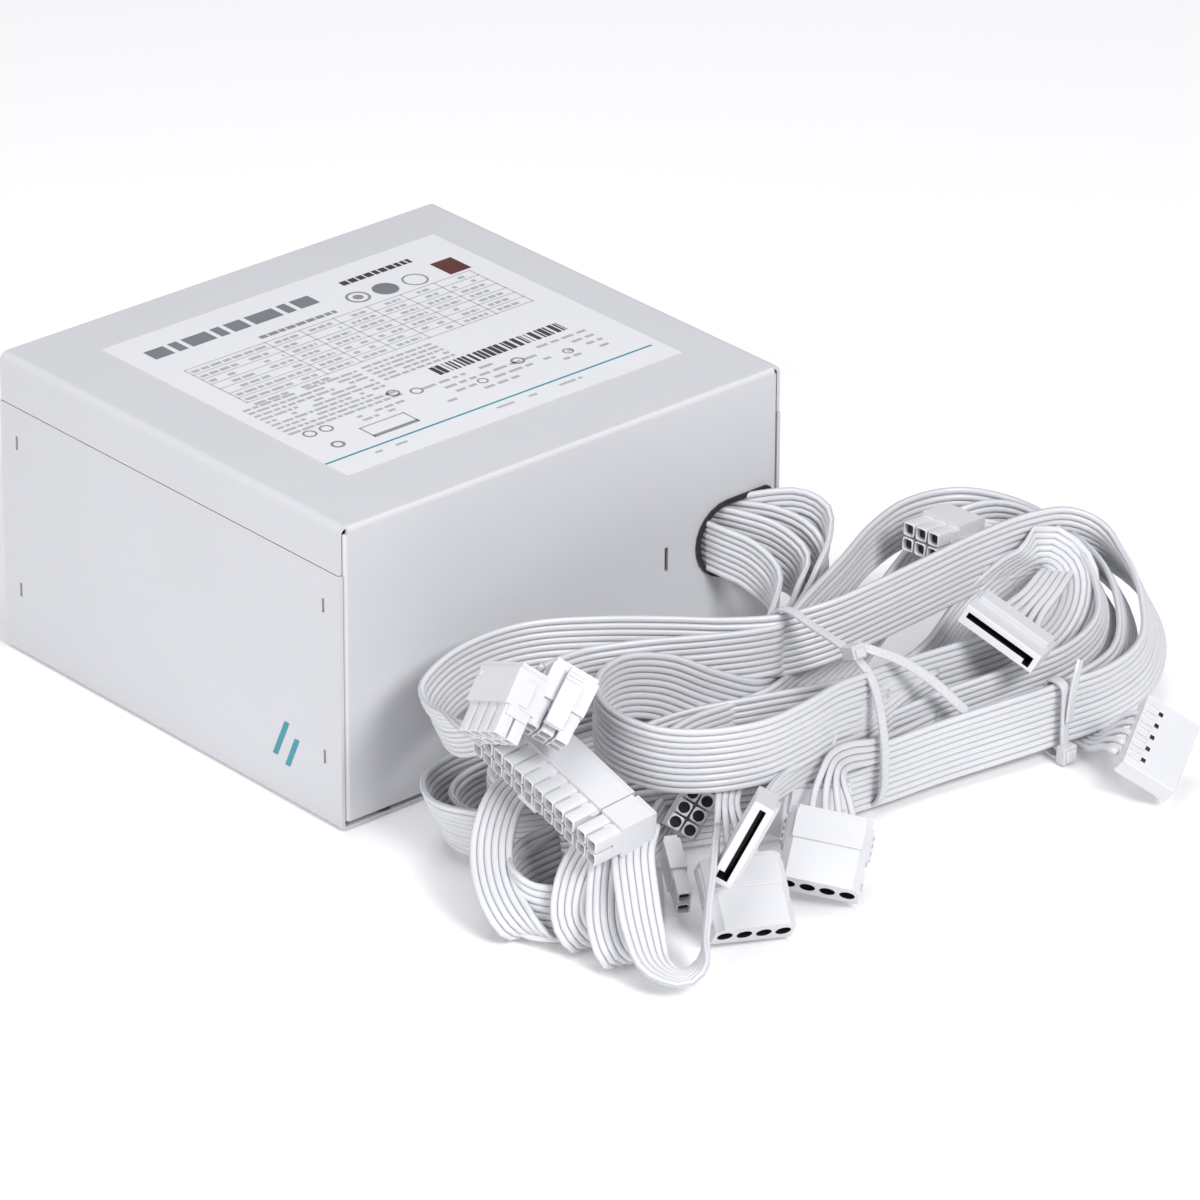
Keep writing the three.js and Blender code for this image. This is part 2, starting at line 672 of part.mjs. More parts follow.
function makePowerPlug(columns, length) {
  const half = length / 2;
  const body = block(-half, half, -PLUG.thick / 2, PLUG.thick / 2, -PLUG.depth, 0);
  const tools = [];
  for (let i = 0; i < columns; i += 1) {
    const u = (i - (columns - 1) / 2) * PLUG.pitch;
    for (const v of [-PLUG.pitch / 2, PLUG.pitch / 2]) {
      const reach = PLUG.hole / 2;
      tools.push(block(u - reach, u + reach, v - reach, v + reach, -PLUG.holeDepth, 1));
    }
    if (i > 0) {
      const groove = u - PLUG.pitch / 2;
      for (const side of [-1, 1]) {
        const v = side * PLUG.thick / 2;
        tools.push(block(groove - 0.35, groove + 0.35, v - 0.7, v + 0.7, -PLUG.holeDepth, 1));
      }
    }
  }
  return cut(body, ...tools);
}

// The sprung lever on a power plug, standing off its face at +v.
function makeLatch(width) {
  const low = PLUG.thick / 2 + 1.3;
  const lever = block(-width / 2, width / 2, low, low + 1.1, -17, -1.5);
  const hook = block(-width / 2, width / 2, low - 0.8, low + 0.5, -2.7, -1.5);
  const rib = block(-width / 2, width / 2, PLUG.thick / 2 + GAP, low + 0.5, -10, -8.6);
  return join(lever, hook, rib);
}

function makeSataPlug(depth) {
  const { length, thick } = SATA;
  const half = length / 2;
  const body = block(-half, half, -thick / 2, thick / 2, -depth, 0);
  const slot = block(-half + 1.5, half - 1.5, -0.4, 1.0, -6, 1);
  const foot = block(half - 3.2, half - 1.5, -1.8, 0, -6, 1);
  const cap = block(-half + 1, half - 1, thick / 2 - 1, thick / 2 + 1.2, -depth + 1, -depth + 7);
  return cut(join(body, cap), slot, foot);
}

function makeDrivePlug() {
  const { length, thick, depth, pitch, bore } = DRIVE;
  const half = length / 2;
  const section = polygon([
    [-half, -thick / 2], [half, -thick / 2], [half, thick / 2 - 2], [half - 2, thick / 2],
    [-half + 2, thick / 2], [-half, thick / 2 - 2],
  ]);
  const body = prismZ(section, -depth, 0);
  const sockets = [-1.5, -0.5, 0.5, 1.5].map((i) => rodZ(i * pitch, 0, bore, -10, 1, 12));
  return cut(body, ...sockets);
}

const FACING = [-0.986, 0.088, -0.144];
const ALONG = [-0.053, -0.971, -0.234];

const PLUGS = {
  plug_24pin_main: { at: [-69.5, -133.5, 36.6], mate: FACING, row: ALONG, columns: 10, length: 42.6 },
  plug_24pin_side: { at: [-70.9, -158.8, 30.5], mate: FACING, row: ALONG, columns: 2, length: 8.6 },
  plug_cpu: { at: [-82.2, -135.2, 55.2], mate: [-0.69, -0.21, -0.69], row: [-0.07, -0.93, 0.36],
    columns: 4, length: 17.8 },
  plug_pcie_latched: { at: [-67.6, -138.6, 51.8], mate: [-0.77, -0.26, -0.58],
    row: [0.59, -0.62, -0.51], columns: 3, length: 12.8 },
  plug_pcie_six: { at: [-27, -149, 21], mate: [-0.59, -0.67, 0.45], row: [-0.64, 0.05, -0.77],
    columns: 3, length: 12.8 },
  plug_pcie_two: { at: [-43.2, -164.5, 7], mate: [-0.46, -0.81, -0.36], row: [0.87, -0.5, 0.02],
    columns: 1, length: 4.4 },
  plug_back: { at: [87, -111, 45.6], mate: [-0.98, -0.1, 0.1], row: [-0.1, 0.99, 0], columns: 3,
    length: 12.8 },
};

const SATA_PLUGS = {
  plug_sata_front: { at: [-43.2, -185.6, 31.9], mate: [-0.72, -0.66, 0.2], row: [-0.44, 0.21, -0.88],
    depth: SATA.depth },
  plug_sata_lobe: { at: [76.5, -152, 36.5], mate: [-0.87, -0.47, 0.16], row: [0.36, -0.81, -0.46],
    depth: SATA.depth },
  plug_sata_middle: { at: [4.8, -156.2, 6.5], mate: [-0.3, -0.1, -0.95], row: [0.95, 0, -0.3],
    depth: SATA.depth },
  plug_sata_end: { at: [102, -194.5, 8.2], mate: [0.58, -0.62, -0.54], row: [-0.82, -0.44, -0.37],
    depth: SATA.depth + 2 },
};

const DRIVE_PLUGS = {
  plug_drive_left: { at: [-37.6, -184.3, 4.7], mate: [-0.35, -0.7, -0.62], row: [0.91, -0.41, -0.05] },
  plug_drive_right: { at: [-12.4, -180, 6.4], mate: [-0.65, -0.44, -0.61], row: [0.65, -0.74, -0.16] },
};

// The lever's side of each latched plug: +1 or -1 along v.
const LATCHES = {
  latch_24pin: { plug: 'plug_24pin_main', side: -1, width: 7 },
  latch_pcie: { plug: 'plug_pcie_latched', side: 1, width: 5 },
};

// ---- assembly ----

place('chassis_tray', makeTray(), LOOK.whitePaint);
place('fan_cover', makeFanCover(), LOOK.whitePaint);
place('rating_label', block(-54, 60, -47.5, 53, CASE.height + 0.02, CASE.height + 0.17), LOOK.label);
place('cable_bushing', makeBushing(), LOOK.black);
coverScrewPlaces().forEach(([x, y], i) => {
  place(`cover_screw_${i + 1}`, makeCoverScrew(x, y), LOOK.steel);
});

place('inlet_housing', makeInlet(), LOOK.black);
inletPins().forEach(([x, z], i) => {
  place(['inlet_pin_line', 'inlet_pin_neutral', 'inlet_pin_earth'][i], makeInletPin(x, z), LOOK.steel);
});
place('switch_bezel', makeSwitchBezel(), LOOK.black);
place('switch_rocker', makeRocker(), LOOK.black);

place('fan_frame', makeFanFrame(), LOOK.black);
place('fan_rotor', makeRotor(), LOOK.black);
place('fan_guard', makeGuard(), LOOK.steel);
fanCorners().forEach(([x, y], i) => {
  place(`fan_screw_${i + 1}`, makeFanScrew(x, y), LOOK.steel);
});

place('main_board', makeBoard(), LOOK.board);
place('insulation_sheet', makeInsulation(), LOOK.clear);
standoffPlaces().forEach(([x, y], i) => {
  place(`standoff_${i + 1}`, rodZ(x, y, 3, BOARD.top + GAP, CASE.height - SHEET - GAP, 12), LOOK.steel);
});
const PART_TOP = BOARD_LOW - GAP;
place('bulk_capacitor', rodZ(-48, 24, 14, PART_TOP - 40, PART_TOP, 28), LOOK.sleeve);
place('primary_heatsink', makeHeatsink(-62, -24, -4, 36, 6), LOOK.aluminium);
place('secondary_heatsink', makeHeatsink(24, 60, -2, 36, 6), LOOK.aluminium);
place('main_transformer', makeTransformer(), LOOK.yellow);
place('pfc_choke', makeToroid(-45, -36, PART_TOP - 17, 17, 8, 15, 'x'), LOOK.copper);
place('output_choke', makeToroid(50, 28, PART_TOP - 8, 13, 6, 14, 'z'), LOOK.core);
[[10, -48], [22, -48], [34, -52]].forEach(([x, y], i) => {
  place(`output_capacitor_${i + 1}`, rodZ(x, y, 5, PART_TOP - 22, PART_TOP, 16), LOOK.sleeve);
});
place('emi_choke', makeToroid(-14, 36, PART_TOP - 9, 11, 5, 14, 'z'), LOOK.copper);
place('filter_capacitor', block(8, 26, 26, 38, PART_TOP - 16, PART_TOP), LOOK.yellow);
place('control_board', block(-20, 0, -50, -48.4, PART_TOP - 24, PART_TOP), LOOK.board);
place('internal_harness', makeHarness(), LOOK.wire);

place('cable_fan_out', makeFanOut(), LOOK.wire);
place('cable_hank', makeHank(), LOOK.wire);
place('bundle_tie', makeTie(), LOOK.nylon);
place('small_tie', makeSmallTie(), LOOK.nylon);

for (const [name, plug] of Object.entries(PLUGS)) {
  place(name, makePowerPlug(plug.columns, plug.length), LOOK.plug, pose(plug.at, plug.mate, plug.row));
}
for (const [name, latch] of Object.entries(LATCHES)) {
  const plug = PLUGS[latch.plug];
  const lever = latch.side > 0 ? makeLatch(latch.width) : makeLatch(latch.width).mirror([0, 1, 0]);
  place(name, lever, LOOK.plug, pose(plug.at, plug.mate, plug.row));
}
for (const [name, plug] of Object.entries(SATA_PLUGS)) {
  place(name, makeSataPlug(plug.depth), LOOK.plug, pose(plug.at, plug.mate, plug.row));
}
for (const [name, plug] of Object.entries(DRIVE_PLUGS)) {
  place(name, makeDrivePlug(), LOOK.plug, pose(plug.at, plug.mate, plug.row));
}

export default group;
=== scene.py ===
"""Looks of a white ATX power supply unit with its tied bundle of flat cables.

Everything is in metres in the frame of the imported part. The points of pieces are in millimetres
and are turned into metres once, by the helpers; the camera, the floor and the lights are in
metres. The origin is the bottom centre of the case.
"""

import math

import bpy
import numpy as np
from mathutils import Matrix, Vector


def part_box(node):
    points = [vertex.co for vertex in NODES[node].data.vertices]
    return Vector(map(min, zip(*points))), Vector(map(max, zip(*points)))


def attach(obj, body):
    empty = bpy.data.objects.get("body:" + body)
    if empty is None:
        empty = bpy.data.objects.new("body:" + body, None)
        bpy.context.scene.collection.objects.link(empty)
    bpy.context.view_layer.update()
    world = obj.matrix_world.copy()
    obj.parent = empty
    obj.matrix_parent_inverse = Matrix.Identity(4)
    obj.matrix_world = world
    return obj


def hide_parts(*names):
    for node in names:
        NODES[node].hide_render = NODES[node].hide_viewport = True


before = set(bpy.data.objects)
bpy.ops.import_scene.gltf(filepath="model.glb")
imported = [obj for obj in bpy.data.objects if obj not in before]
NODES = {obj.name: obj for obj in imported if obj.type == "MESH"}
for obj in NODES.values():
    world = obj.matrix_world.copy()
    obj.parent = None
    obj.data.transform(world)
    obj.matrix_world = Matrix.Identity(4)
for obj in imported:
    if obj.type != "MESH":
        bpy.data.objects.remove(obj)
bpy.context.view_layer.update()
MM = 0.001
UP = (0.0, 0.0, 1.0)


# ---- camera ----

SENSOR = 36
FOCAL_WIDTHS = 8051 / 1200  # focal length, in picture widths


def make_camera():
    right = Vector((0.75042, -0.66094, 0.00459)).normalized()
    back = Vector((-0.59298, -0.67016, 0.44639))
    back = (back - right * back.dot(right)).normalized()
    up = back.cross(right)
    data = bpy.data.cameras.new("camera")
    data.sensor_width = SENSOR
    data.lens = SENSOR * FOCAL_WIDTHS
    data.clip_end = 20
    camera = bpy.data.objects.new("camera", data)
    turn = Matrix((right, up, back)).transposed().to_4x4()
    camera.matrix_world = Matrix.Translation((-1.22497, -1.46795, 0.96894)) @ turn
    bpy.context.scene.collection.objects.link(camera)
    bpy.context.scene.camera = camera


make_camera()


# ---- cable routes ----
# Each route is the middle of a flat cable: its points, and the direction across the flat.
# The four trunk cables and cable_low leave the hole side by side, standing on edge.

PITCH = 1.8  # between neighbouring wires of a flat cable
WIRE = 0.98  # radius of one wire with its insulation
WIRE_SIDES = 8
FLATTENING = 0.86  # a wire's thickness to its width
FAN_OUT = 16  # length over which wires spread to their plug's pitch
CABLE_STEP = 2.4  # between a cable's sections
PAINTED_SHADE_FROM = 0.75  # where the shade painted between wires begins, as a share of a wire's radius
PAINTED_SHADE_STRENGTH = 0.6  # share of the painted shade's colour that the crease between wires gets at its bottom
WIDE, NARROW = 0.16, 0.06  # how far wires drift out of the flat, in wide and narrow cables
WAVES = (23, 9.1)  # of that drift, in millimetres a radian
PHASES = 6.28

ROUTES = {}  # cable: its number of wires, and its points
PLUGS_AT = {}  # cable: the plug's node, and the pitch of its wires there


def route(name, wires, points, across=UP):
    ROUTES[name] = (wires, [tuple(p) + tuple(across) if len(p) == 3 else tuple(p) for p in points])


def branch(name, wires, plug, pitch, points):
    """A branch cable, listed from its plug back into the bundle. pitch is that at the plug."""
    route(name, wires, points[::-1])
    PLUGS_AT[name] = (plug, pitch)


route("cable_cpu", 10, [
    (59, -64, 43), (63, -70, 43.5), (68, -75, 45), (73, -79, 45), (75.5, -84, 43),
    (73.5, -89.5, 38), (67, -94, 31), (56, -98, 24),
    (38, -100, 17), (20, -97, 13), (-10, -90, 12), (-38, -85, 11.5),
    (-53, -86, 11.5, -0.15, 0.1, 1),
    (-62.5, -91, 11.5, -0.35, 0.1, 0.93), (-66, -99.5, 11, -0.42, 0, 0.9),
    (-62, -111, 11, -0.3, -0.15, 0.94), (-49, -122, 11), (-25, -132, 11),
    (0, -143, 11), (20, -149, 11), (38, -151.5, 11), (56, -153.5, 11.5), (75, -156.5, 12),
    (91, -159, 12.5), (108, -161.5, 13.5), (124, -158.5, 15.5, -0.15, 0.1, 1),
    (135.5, -149.5, 20.5, -0.4, 0.15, 0.9), (140.5, -138, 27, -0.5, 0, 0.87),
    (138.5, -128, 33, -0.45, -0.15, 0.88), (130, -122, 37.5, -0.2, -0.1, 0.97),
    (118, -120.5, 39), (100, -120.5, 39.5),
    (80, -121.5, 39), (60, -122, 38), (46, -120.5, 36.5), (34, -116, 35), (20, -109.5, 36),
    (8, -102, 37.5), (-7, -91.5, 38.5), (-22, -83, 39), (-35, -80.5, 39),
    (-50, -83, 38.5, -0.1, 0.1, 1), (-61, -89, 37, -0.35, 0.15, 0.93),
    (-65, -98, 37, -0.45, 0, 0.9), (-65, -108, 41, -0.4, -0.4, 0.8),
    (-64.5, -117, 49, -0.2, -0.8, 0.55), (-66, -124.5, 57, -0.1, -0.93, 0.36),
    (-70, -130.5, 63.5, -0.07, -0.93, 0.36)])
route("cable_pcie", 8, [
    (48.5, -66, 42), (50, -75, 41.5), (53.5, -83, 39), (54.5, -90, 34), (49, -96, 27),
    (36, -100.5, 20), (15, -99, 14),
    (-10, -94, 12), (-36, -89, 10), (-49, -89.5, 9.5, -0.15, 0.1, 1),
    (-57, -95, 9.5, -0.35, 0.1, 0.93), (-59, -103, 9.5, -0.4, 0, 0.9),
    (-54, -113, 9.5, -0.25, -0.1, 0.95), (-30, -124, 9.5), (0, -136, 10), (20, -144, 10),
    (38, -148, 10.5),
    (60, -150, 11), (80, -153, 12), (100, -156.5, 13.5), (118, -154.5, 15.5, -0.15, 0.1, 1),
    (130.5, -145, 20.5, -0.4, 0.15, 0.9), (136, -133, 27, -0.5, 0, 0.87),
    (133, -119, 34, -0.45, -0.15, 0.88), (126, -106, 38, -0.2, -0.1, 0.97),
    (116, -95.5, 39.5), (101, -92, 40),
    (85, -95, 39), (67, -102.5, 37.5), (52, -108, 36), (41, -112.5, 35), (34, -116, 34.5),
    (27, -115.5, 35), (14, -111.5, 36), (-4, -104.5, 37.5), (-20, -99, 38), (-34, -100, 38.5),
    (-45, -107, 41, -0.1, -0.1, 1),
    (-51, -116, 47, 0.2, -0.5, 0.8), (-53.5, -125, 55, 0.5, -0.65, 0.4),
    (-54.5, -132, 61.5, 0.59, -0.62, -0.3)])
route("cable_front", 10, [
    (57, -64, 42), (61, -70, 42), (66.5, -76.5, 41), (70.5, -83, 38), (70.5, -90, 32.5),
    (64, -96, 27), (53, -103, 21), (42, -109, 17), (33, -114, 17),
    (22, -117, 20), (8, -115, 27), (-4, -111.5, 34), (-16, -110.5, 37.5), (-28, -115, 38.5),
    (-36, -124, 38.5), (-39, -136, 38.5), (-36, -148, 38.5), (-28, -156, 38.5),
    (-14, -160.5, 38), (2, -158.5, 37), (18, -153, 34.5), (32, -148.5, 31), (46, -144, 27.5),
    (60, -141, 24.5), (78, -139.5, 22, -0.05, 0.05, 1), (94, -140, 22, -0.2, 0.2, 0.95),
    (107, -140, 25, -0.4, 0.35, 0.85), (115.5, -137, 30, -0.6, 0.55, 0.5),
    (120, -131, 35, -0.7, 0.66, 0.05), (119, -124.5, 36, -0.6, 0.6, -0.5),
    (111, -120.5, 32, -0.3, 0.3, -0.9), (97, -120, 24, 0, 0, -1), (79, -123.5, 16, 0, 0, -1),
    (60, -127, 15, 0, 0, -1), (40, -126, 17, 0, 0, -1), (20, -121, 18, 0, 0, -1),
    (0, -113, 17, 0, 0, -1), (-20, -110, 14, 0, 0, -1), (-34, -116, 12, 0, 0, -1),
    (-42, -128, 11, 0, 0, -1)])
route("cable_inner", 10, [
    (53, -65, 42), (57.5, -74, 41.5), (63, -81, 38.5), (65, -88, 34), (59.5, -94, 27.5),
    (47, -100, 20.5), (32, -104, 16), (15, -102, 14),
    (-10, -98, 13), (-34, -94, 12), (-46, -95, 12), (-52, -101, 12), (-53, -108, 12),
    (-45, -117, 12), (-20, -128, 12), (6, -138, 12), (24, -143, 13), (40, -144.5, 14),
    (60, -146, 15), (84, -149, 16), (104, -151, 17.5), (119, -147.5, 20.5, -0.15, 0.1, 1),
    (128, -139, 25.5, -0.4, 0.15, 0.9), (130.5, -128, 31, -0.5, 0, 0.87),
    (127.5, -115, 35.5, -0.3, -0.15, 0.93), (120, -104, 36), (106, -98, 32), (90, -99, 25),
    (72, -105, 20), (54, -111, 18), (42, -114, 17.5), (34, -117, 17.5), (26, -119, 17.5),
    (14, -119, 17.5), (0, -117.5, 17), (-18, -120, 14), (-32, -127, 12), (-42, -137, 11.5)])
route("strip_far", 6, [
    (-42, -120, 3.4), (-54, -130, 2.2), (-66, -140, 2.1), (-76, -146.5, 2.7), (-80.5, -144, 6.5),
    (-80, -136, 12.5), (-75, -128, 20), (-66, -122.5, 27), (-57, -121.5, 31),
    (-49.5, -121, 35)], (0.62, -0.78, 0.0))
route("strip_mid", 6, [
    (-36, -128, 4), (-48, -142, 2.2), (-60, -154.5, 2.1), (-68, -161, 2.8), (-71.8, -159, 5.8),
    (-72.3, -155.5, 10), (-68.6, -153, 18), (-62.1, -152.5, 26), (-56, -145, 29.5),
    (-49.5, -135.5, 31.5)], (0.7, -0.71, 0))
route("strip_near", 6, [
    (-36, -140, 4), (-46, -152, 2.2), (-58, -165, 2.1), (-67, -173, 2.8), (-71, -171.5, 5.8),
    (-69.5, -166, 10.5), (-65, -160.5, 17.5), (-60, -156.5, 25), (-55, -151, 28.5),
    (-49.5, -146, 30.5)], (0.7, -0.71, 0))
route("strip_front", 6, [
    (-37, -169, 24, 0.4, 0.5, -0.77), (-42, -174, 24, 0.4, 0.5, -0.77),
    (-47, -179, 22.5, 0.45, 0.55, -0.7), (-51.5, -182.8, 18.5, 0.55, 0.65, -0.4),
    (-55, -185.8, 13, 0.66, 0.75, 0), (-58.5, -188.5, 6.5, 0.7, 0.7, 0),
    (-65, -188.5, 4, 0.85, 0.5, -0.1), (-69, -183, 6.5, 0.95, -0.1, -0.25),
    (-67, -176, 13, 0.85, -0.5, -0.1), (-63.5, -169.5, 20, 0.75, -0.66, 0),
    (-58.5, -162.5, 26.5, 0.75, -0.66, 0), (-52, -157.5, 30, 0.75, -0.66, 0)])
route("cable_bowl", 8, [
    (-10, -128, 13), (-26, -136, 10), (-42, -144, 9), (-56, -150, 8.5), (-67, -151.5, 8.2),
    (-74, -148, 8.4), (-77, -142.5, 9), (-75.5, -136.5, 11), (-68, -131.5, 12),
    (-54, -130, 12)], (0.25, 0.3, 0.92))
route("cable_cross", 4, [
    (-72, -129.5, 13.5), (-66, -129, 13.8), (-60, -128, 14.5), (-52, -126.5, 15), (-42, -124, 15.5),
    (-28, -122, 16)], (-0.1, -0.75, 0.65))
route("cable_low", 8, [
    (60, -64, 40.5), (65, -70, 40), (70.5, -77, 37), (73.5, -83.5, 32.5), (71.5, -90, 26.5),
    (64, -95, 19.5), (51, -98.5, 13.5), (35, -100, 11), (15, -104, 10), (-5, -110, 10)])
branch("cable_sata_lobe", 5, "plug_sata_lobe", 2.6, [
    (88.8, -145.2, 34.2, 0.36, -0.81, -0.46), (97, -141, 34, 0.45, -0.78, -0.4),
    (106, -137.5, 34.8, 0.55, -0.75, -0.25), (114, -133.5, 35.2, 0.6, -0.78, -0.1),
    (120.5, -128.5, 33, 0.7, -0.7, 0), (125, -122.5, 29, 0.85, -0.5, 0),
    (126.5, -116, 26.5, 1, -0.1, 0), (123.5, -108.5, 26, 0.85, 0.5, 0),
    (117, -102.5, 27, 0.5, 0.85, 0.2), (107, -99.2, 28.5, 0.1, 0.7, 0.7),
    (96, -98.8, 27, 0, 0.2, 1), (85, -100.6, 23.5, 0, 0, 1)])
branch("cable_sata_end", 5, "plug_sata_end", 3.3, [
    (93.2, -185, 16.3, 0.82, 0.44, 0.37), (94, -180, 15, 0.82, 0.46, 0.3),
    (96, -173.5, 10.5, 0.84, 0.5, 0.15), (99, -167, 5.5, 0.88, 0.45, 0),
    (102, -159, 2.2, 0.95, 0.3, 0), (102, -149, 2.2, 0.95, -0.3, 0),
    (96, -141, 5, 0.7, -0.7, 0.1), (86, -136, 8, 0.3, -0.6, 0.7), (70, -134, 10, 0, -0.1, 1),
    (54, -130.5, 13), (41, -126.3, 16), (30, -123.6, 17)])
branch("cable_sata_front", 5, "plug_sata_front", 2.6, [
    (-33, -176.3, 29, -0.44, 0.21, -0.88), (-25, -170, 27.5, -0.4, 0.25, -0.88),
    (-15, -163.5, 26.5, -0.3, 0.2, -0.93), (-3, -159, 26, -0.15, 0.1, -1),
    (10, -155, 25, -0.05, 0, -1), (24, -150.5, 23, 0, 0, -1), (38, -146.8, 22, 0, 0, -1),
    (54, -142.6, 22.5, 0, 0, -1), (66, -140.5, 22.5, 0, 0, -1)])
branch("cable_drive", 4, "plug_drive_right", 3.4, [
    (0.8, -171, 18.7, 0.65, -0.74, -0.16), (5.5, -165.5, 23, 0.65, -0.7, -0.3),
    (12, -160, 25, 0.5, -0.55, -0.67), (21, -155.5, 23, 0.2, -0.2, -0.96), (32, -152, 19, 0, 0, -1),
    (46, -148, 16, 0, 0, -1), (60, -146.1, 15.2, 0, 0, -1)])
branch("cable_drive_link", 4, "plug_drive_left", 3.4, [
    (-30.6, -170.2, 17.2, 0.91, -0.41, -0.05), (-27.5, -164.5, 22, 0.85, -0.5, -0.1),
    (-22, -157, 27, 0.6, -0.5, -0.6), (-12, -152, 29.5, 0.2, -0.2, -0.96),
    (2, -149.5, 29, 0, 0, -1), (18, -150, 28, 0, 0, -1), (32, -148.3, 28, 0, 0, -1),
    (44, -144.6, 27, 0, 0, -1)])
branch("cable_pcie_six", 6, "plug_pcie_six", 1.9, [
    (-15.6, -136.2, 12.4, -0.64, 0.05, -0.77), (-9, -130.5, 10.5, -0.5, 0.1, -0.86),
    (0, -128, 10.5, -0.2, 0.1, -0.97), (14, -129, 12, 0, 0, -1), (30, -131, 14, 0, 0, -1),
    (46, -130, 15, 0, 0, -1), (60, -127.1, 15.2, 0, 0, -1), (70, -125.2, 15.6, 0, 0, -1)])
branch("cable_middle", 5, "plug_sata_middle", 2.6, [
    (9.2, -154.6, 20.3, 0.95, 0, -0.3), (12, -153.5, 27, 0.9, -0.1, -0.3),
    (18, -150.5, 32.5, 0.5, -0.3, -0.75), (28, -147, 31.5, 0.1, 0, -1),
    (40, -145.4, 28.5, 0, 0, -1), (50, -143.2, 26.6, 0, 0, -1), (60, -141, 24.6, 0, 0, -1)])
branch("cable_back", 6, "plug_back", 2.0, [
    (106, -109, 43.6, -0.1, 0.99, 0), (110, -108.5, 42, -0.15, 0.95, 0.2),
    (114.5, -109.5, 38.5, -0.3, 0.6, 0.7), (117.5, -114, 34, -0.2, 0.1, 0.97), (114.5, -119.3, 31),
    (105, -120.6, 28.5), (94, -120.6, 22.8), (84, -122.5, 18.4),
    (72, -124.8, 15.7)])
PLUGS_AT["cable_cpu"] = ("plug_cpu", PITCH)
PLUGS_AT["cable_pcie"] = ("plug_pcie_latched", PITCH)
for strip in ("strip_far", "strip_mid", "strip_near"):
    PLUGS_AT[strip] = ("plug_24pin_main", 2.1)
PLUGS_AT["strip_front"] = ("plug_24pin_side", PITCH)


# ---- materials ----

BUMP_STRENGTH = 0.6


def new_material(name):
    material = bpy.data.materials.new(name)
    material.use_nodes = True
    nodes = material.node_tree.nodes
    links = material.node_tree.links
    shader = nodes["Principled BSDF"]
    return material, nodes, links, shader


def noise(nodes, links, scale, detail):
    where = nodes.new("ShaderNodeTexCoord")
    tex = nodes.new("ShaderNodeTexNoise")
    tex.inputs["Scale"].default_value = scale
    tex.inputs["Detail"].default_value = detail
    links.new(where.outputs["Object"], tex.inputs["Vector"])
    return tex.outputs["Fac"]


def remap(nodes, links, value, low, high):
    """Stretches the middle of a noise to the range from low to high."""
    box = nodes.new("ShaderNodeMapRange")
    box.inputs["From Min"].default_value = 0.3
    box.inputs["From Max"].default_value = 0.7
    box.inputs["To Min"].default_value = low
    box.inputs["To Max"].default_value = high
    links.new(value, box.inputs["Value"])
    return box.outputs["Result"]


def finish(name, color, shade, rough, grain, bump, metal=0.0, patch=60.0, coat=0.0, seen=0.0,
           painted_groove_shade=None):
    """A surface with slow patches of shade, fine grain in its gloss, and a grain you can feel.

    shade is how much darker the patches get, and patch and grain are how many patches and grains
    there are in a metre. bump is the grain's height in millimetres, seen how much the gloss
    varies, and the last argument is the colour of the shade painted between wires."""
    material, nodes, links, shader = new_material(name)
    mix = nodes.new("ShaderNodeMix")
    mix.data_type = "RGBA"
    mix.inputs["A"].default_value = (*color, 1)
    mix.inputs["B"].default_value = (*[c * (1 - shade) for c in color], 1)
    patches = noise(nodes, links, patch, 4)
    links.new(remap(nodes, links, patches, 0, 1), mix.inputs["Factor"])
    result = mix.outputs["Result"]
    # Painted shade between wires: the colour is mixed towards the given dark colour by the
    # attribute that the cable's points carry.
    if painted_groove_shade:
        mark = nodes.new("ShaderNodeAttribute")
        mark.attribute_name = "painted_groove_shade"
        dark = nodes.new("ShaderNodeMix")
        dark.data_type = "RGBA"
        dark.inputs["B"].default_value = (*painted_groove_shade, 1)
        links.new(mark.outputs["Fac"], dark.inputs["Factor"])
        links.new(result, dark.inputs["A"])
        result = dark.outputs["Result"]
    links.new(result, shader.inputs["Base Color"])
    fine = noise(nodes, links, grain, 2)
    links.new(remap(nodes, links, fine, rough - seen, rough + seen), shader.inputs["Roughness"])
    relief = nodes.new("ShaderNodeBump")
    relief.inputs["Strength"].default_value = BUMP_STRENGTH
    relief.inputs["Distance"].default_value = bump * MM
    links.new(fine, relief.inputs["Height"])
    links.new(relief.outputs["Normal"], shader.inputs["Normal"])
    shader.inputs["Metallic"].default_value = metal
    shader.inputs["Coat Weight"].default_value = coat
    return material


PAINT = finish("white_powder_coat", (0.605, 0.61, 0.635), 0.03, 0.50, 2600, 0.035, patch=18,
               seen=0.08)
PAPER = finish("label_film", (0.76, 0.765, 0.79), 0.02, 0.38, 900, 0.006, patch=30, seen=0.04)
BLACK = finish("black_plastic", (0.018, 0.018, 0.02), 0.25, 0.42, 1800, 0.03, seen=0.08)
ZINC = finish("zinc_plate", (0.62, 0.62, 0.63), 0.2, 0.3, 1500, 0.01, metal=1.0, seen=0.1)
# White insulation, with shade painted between its wires in the last colour.
CABLE = finish("white_insulation", (0.66, 0.665, 0.69), 0.03, 0.36, 700, 0.01, patch=90,
               seen=0.07, painted_groove_shade=(0.27, 0.28, 0.32))
SHELL = finish("white_nylon_shell", (0.67, 0.675, 0.70), 0.03, 0.34, 1400, 0.012, patch=120,
               seen=0.07)
NYLON = finish("natural_nylon", (0.60, 0.605, 0.63), 0.03, 0.28, 900, 0.01, patch=150, seen=0.06,
               coat=0.2)
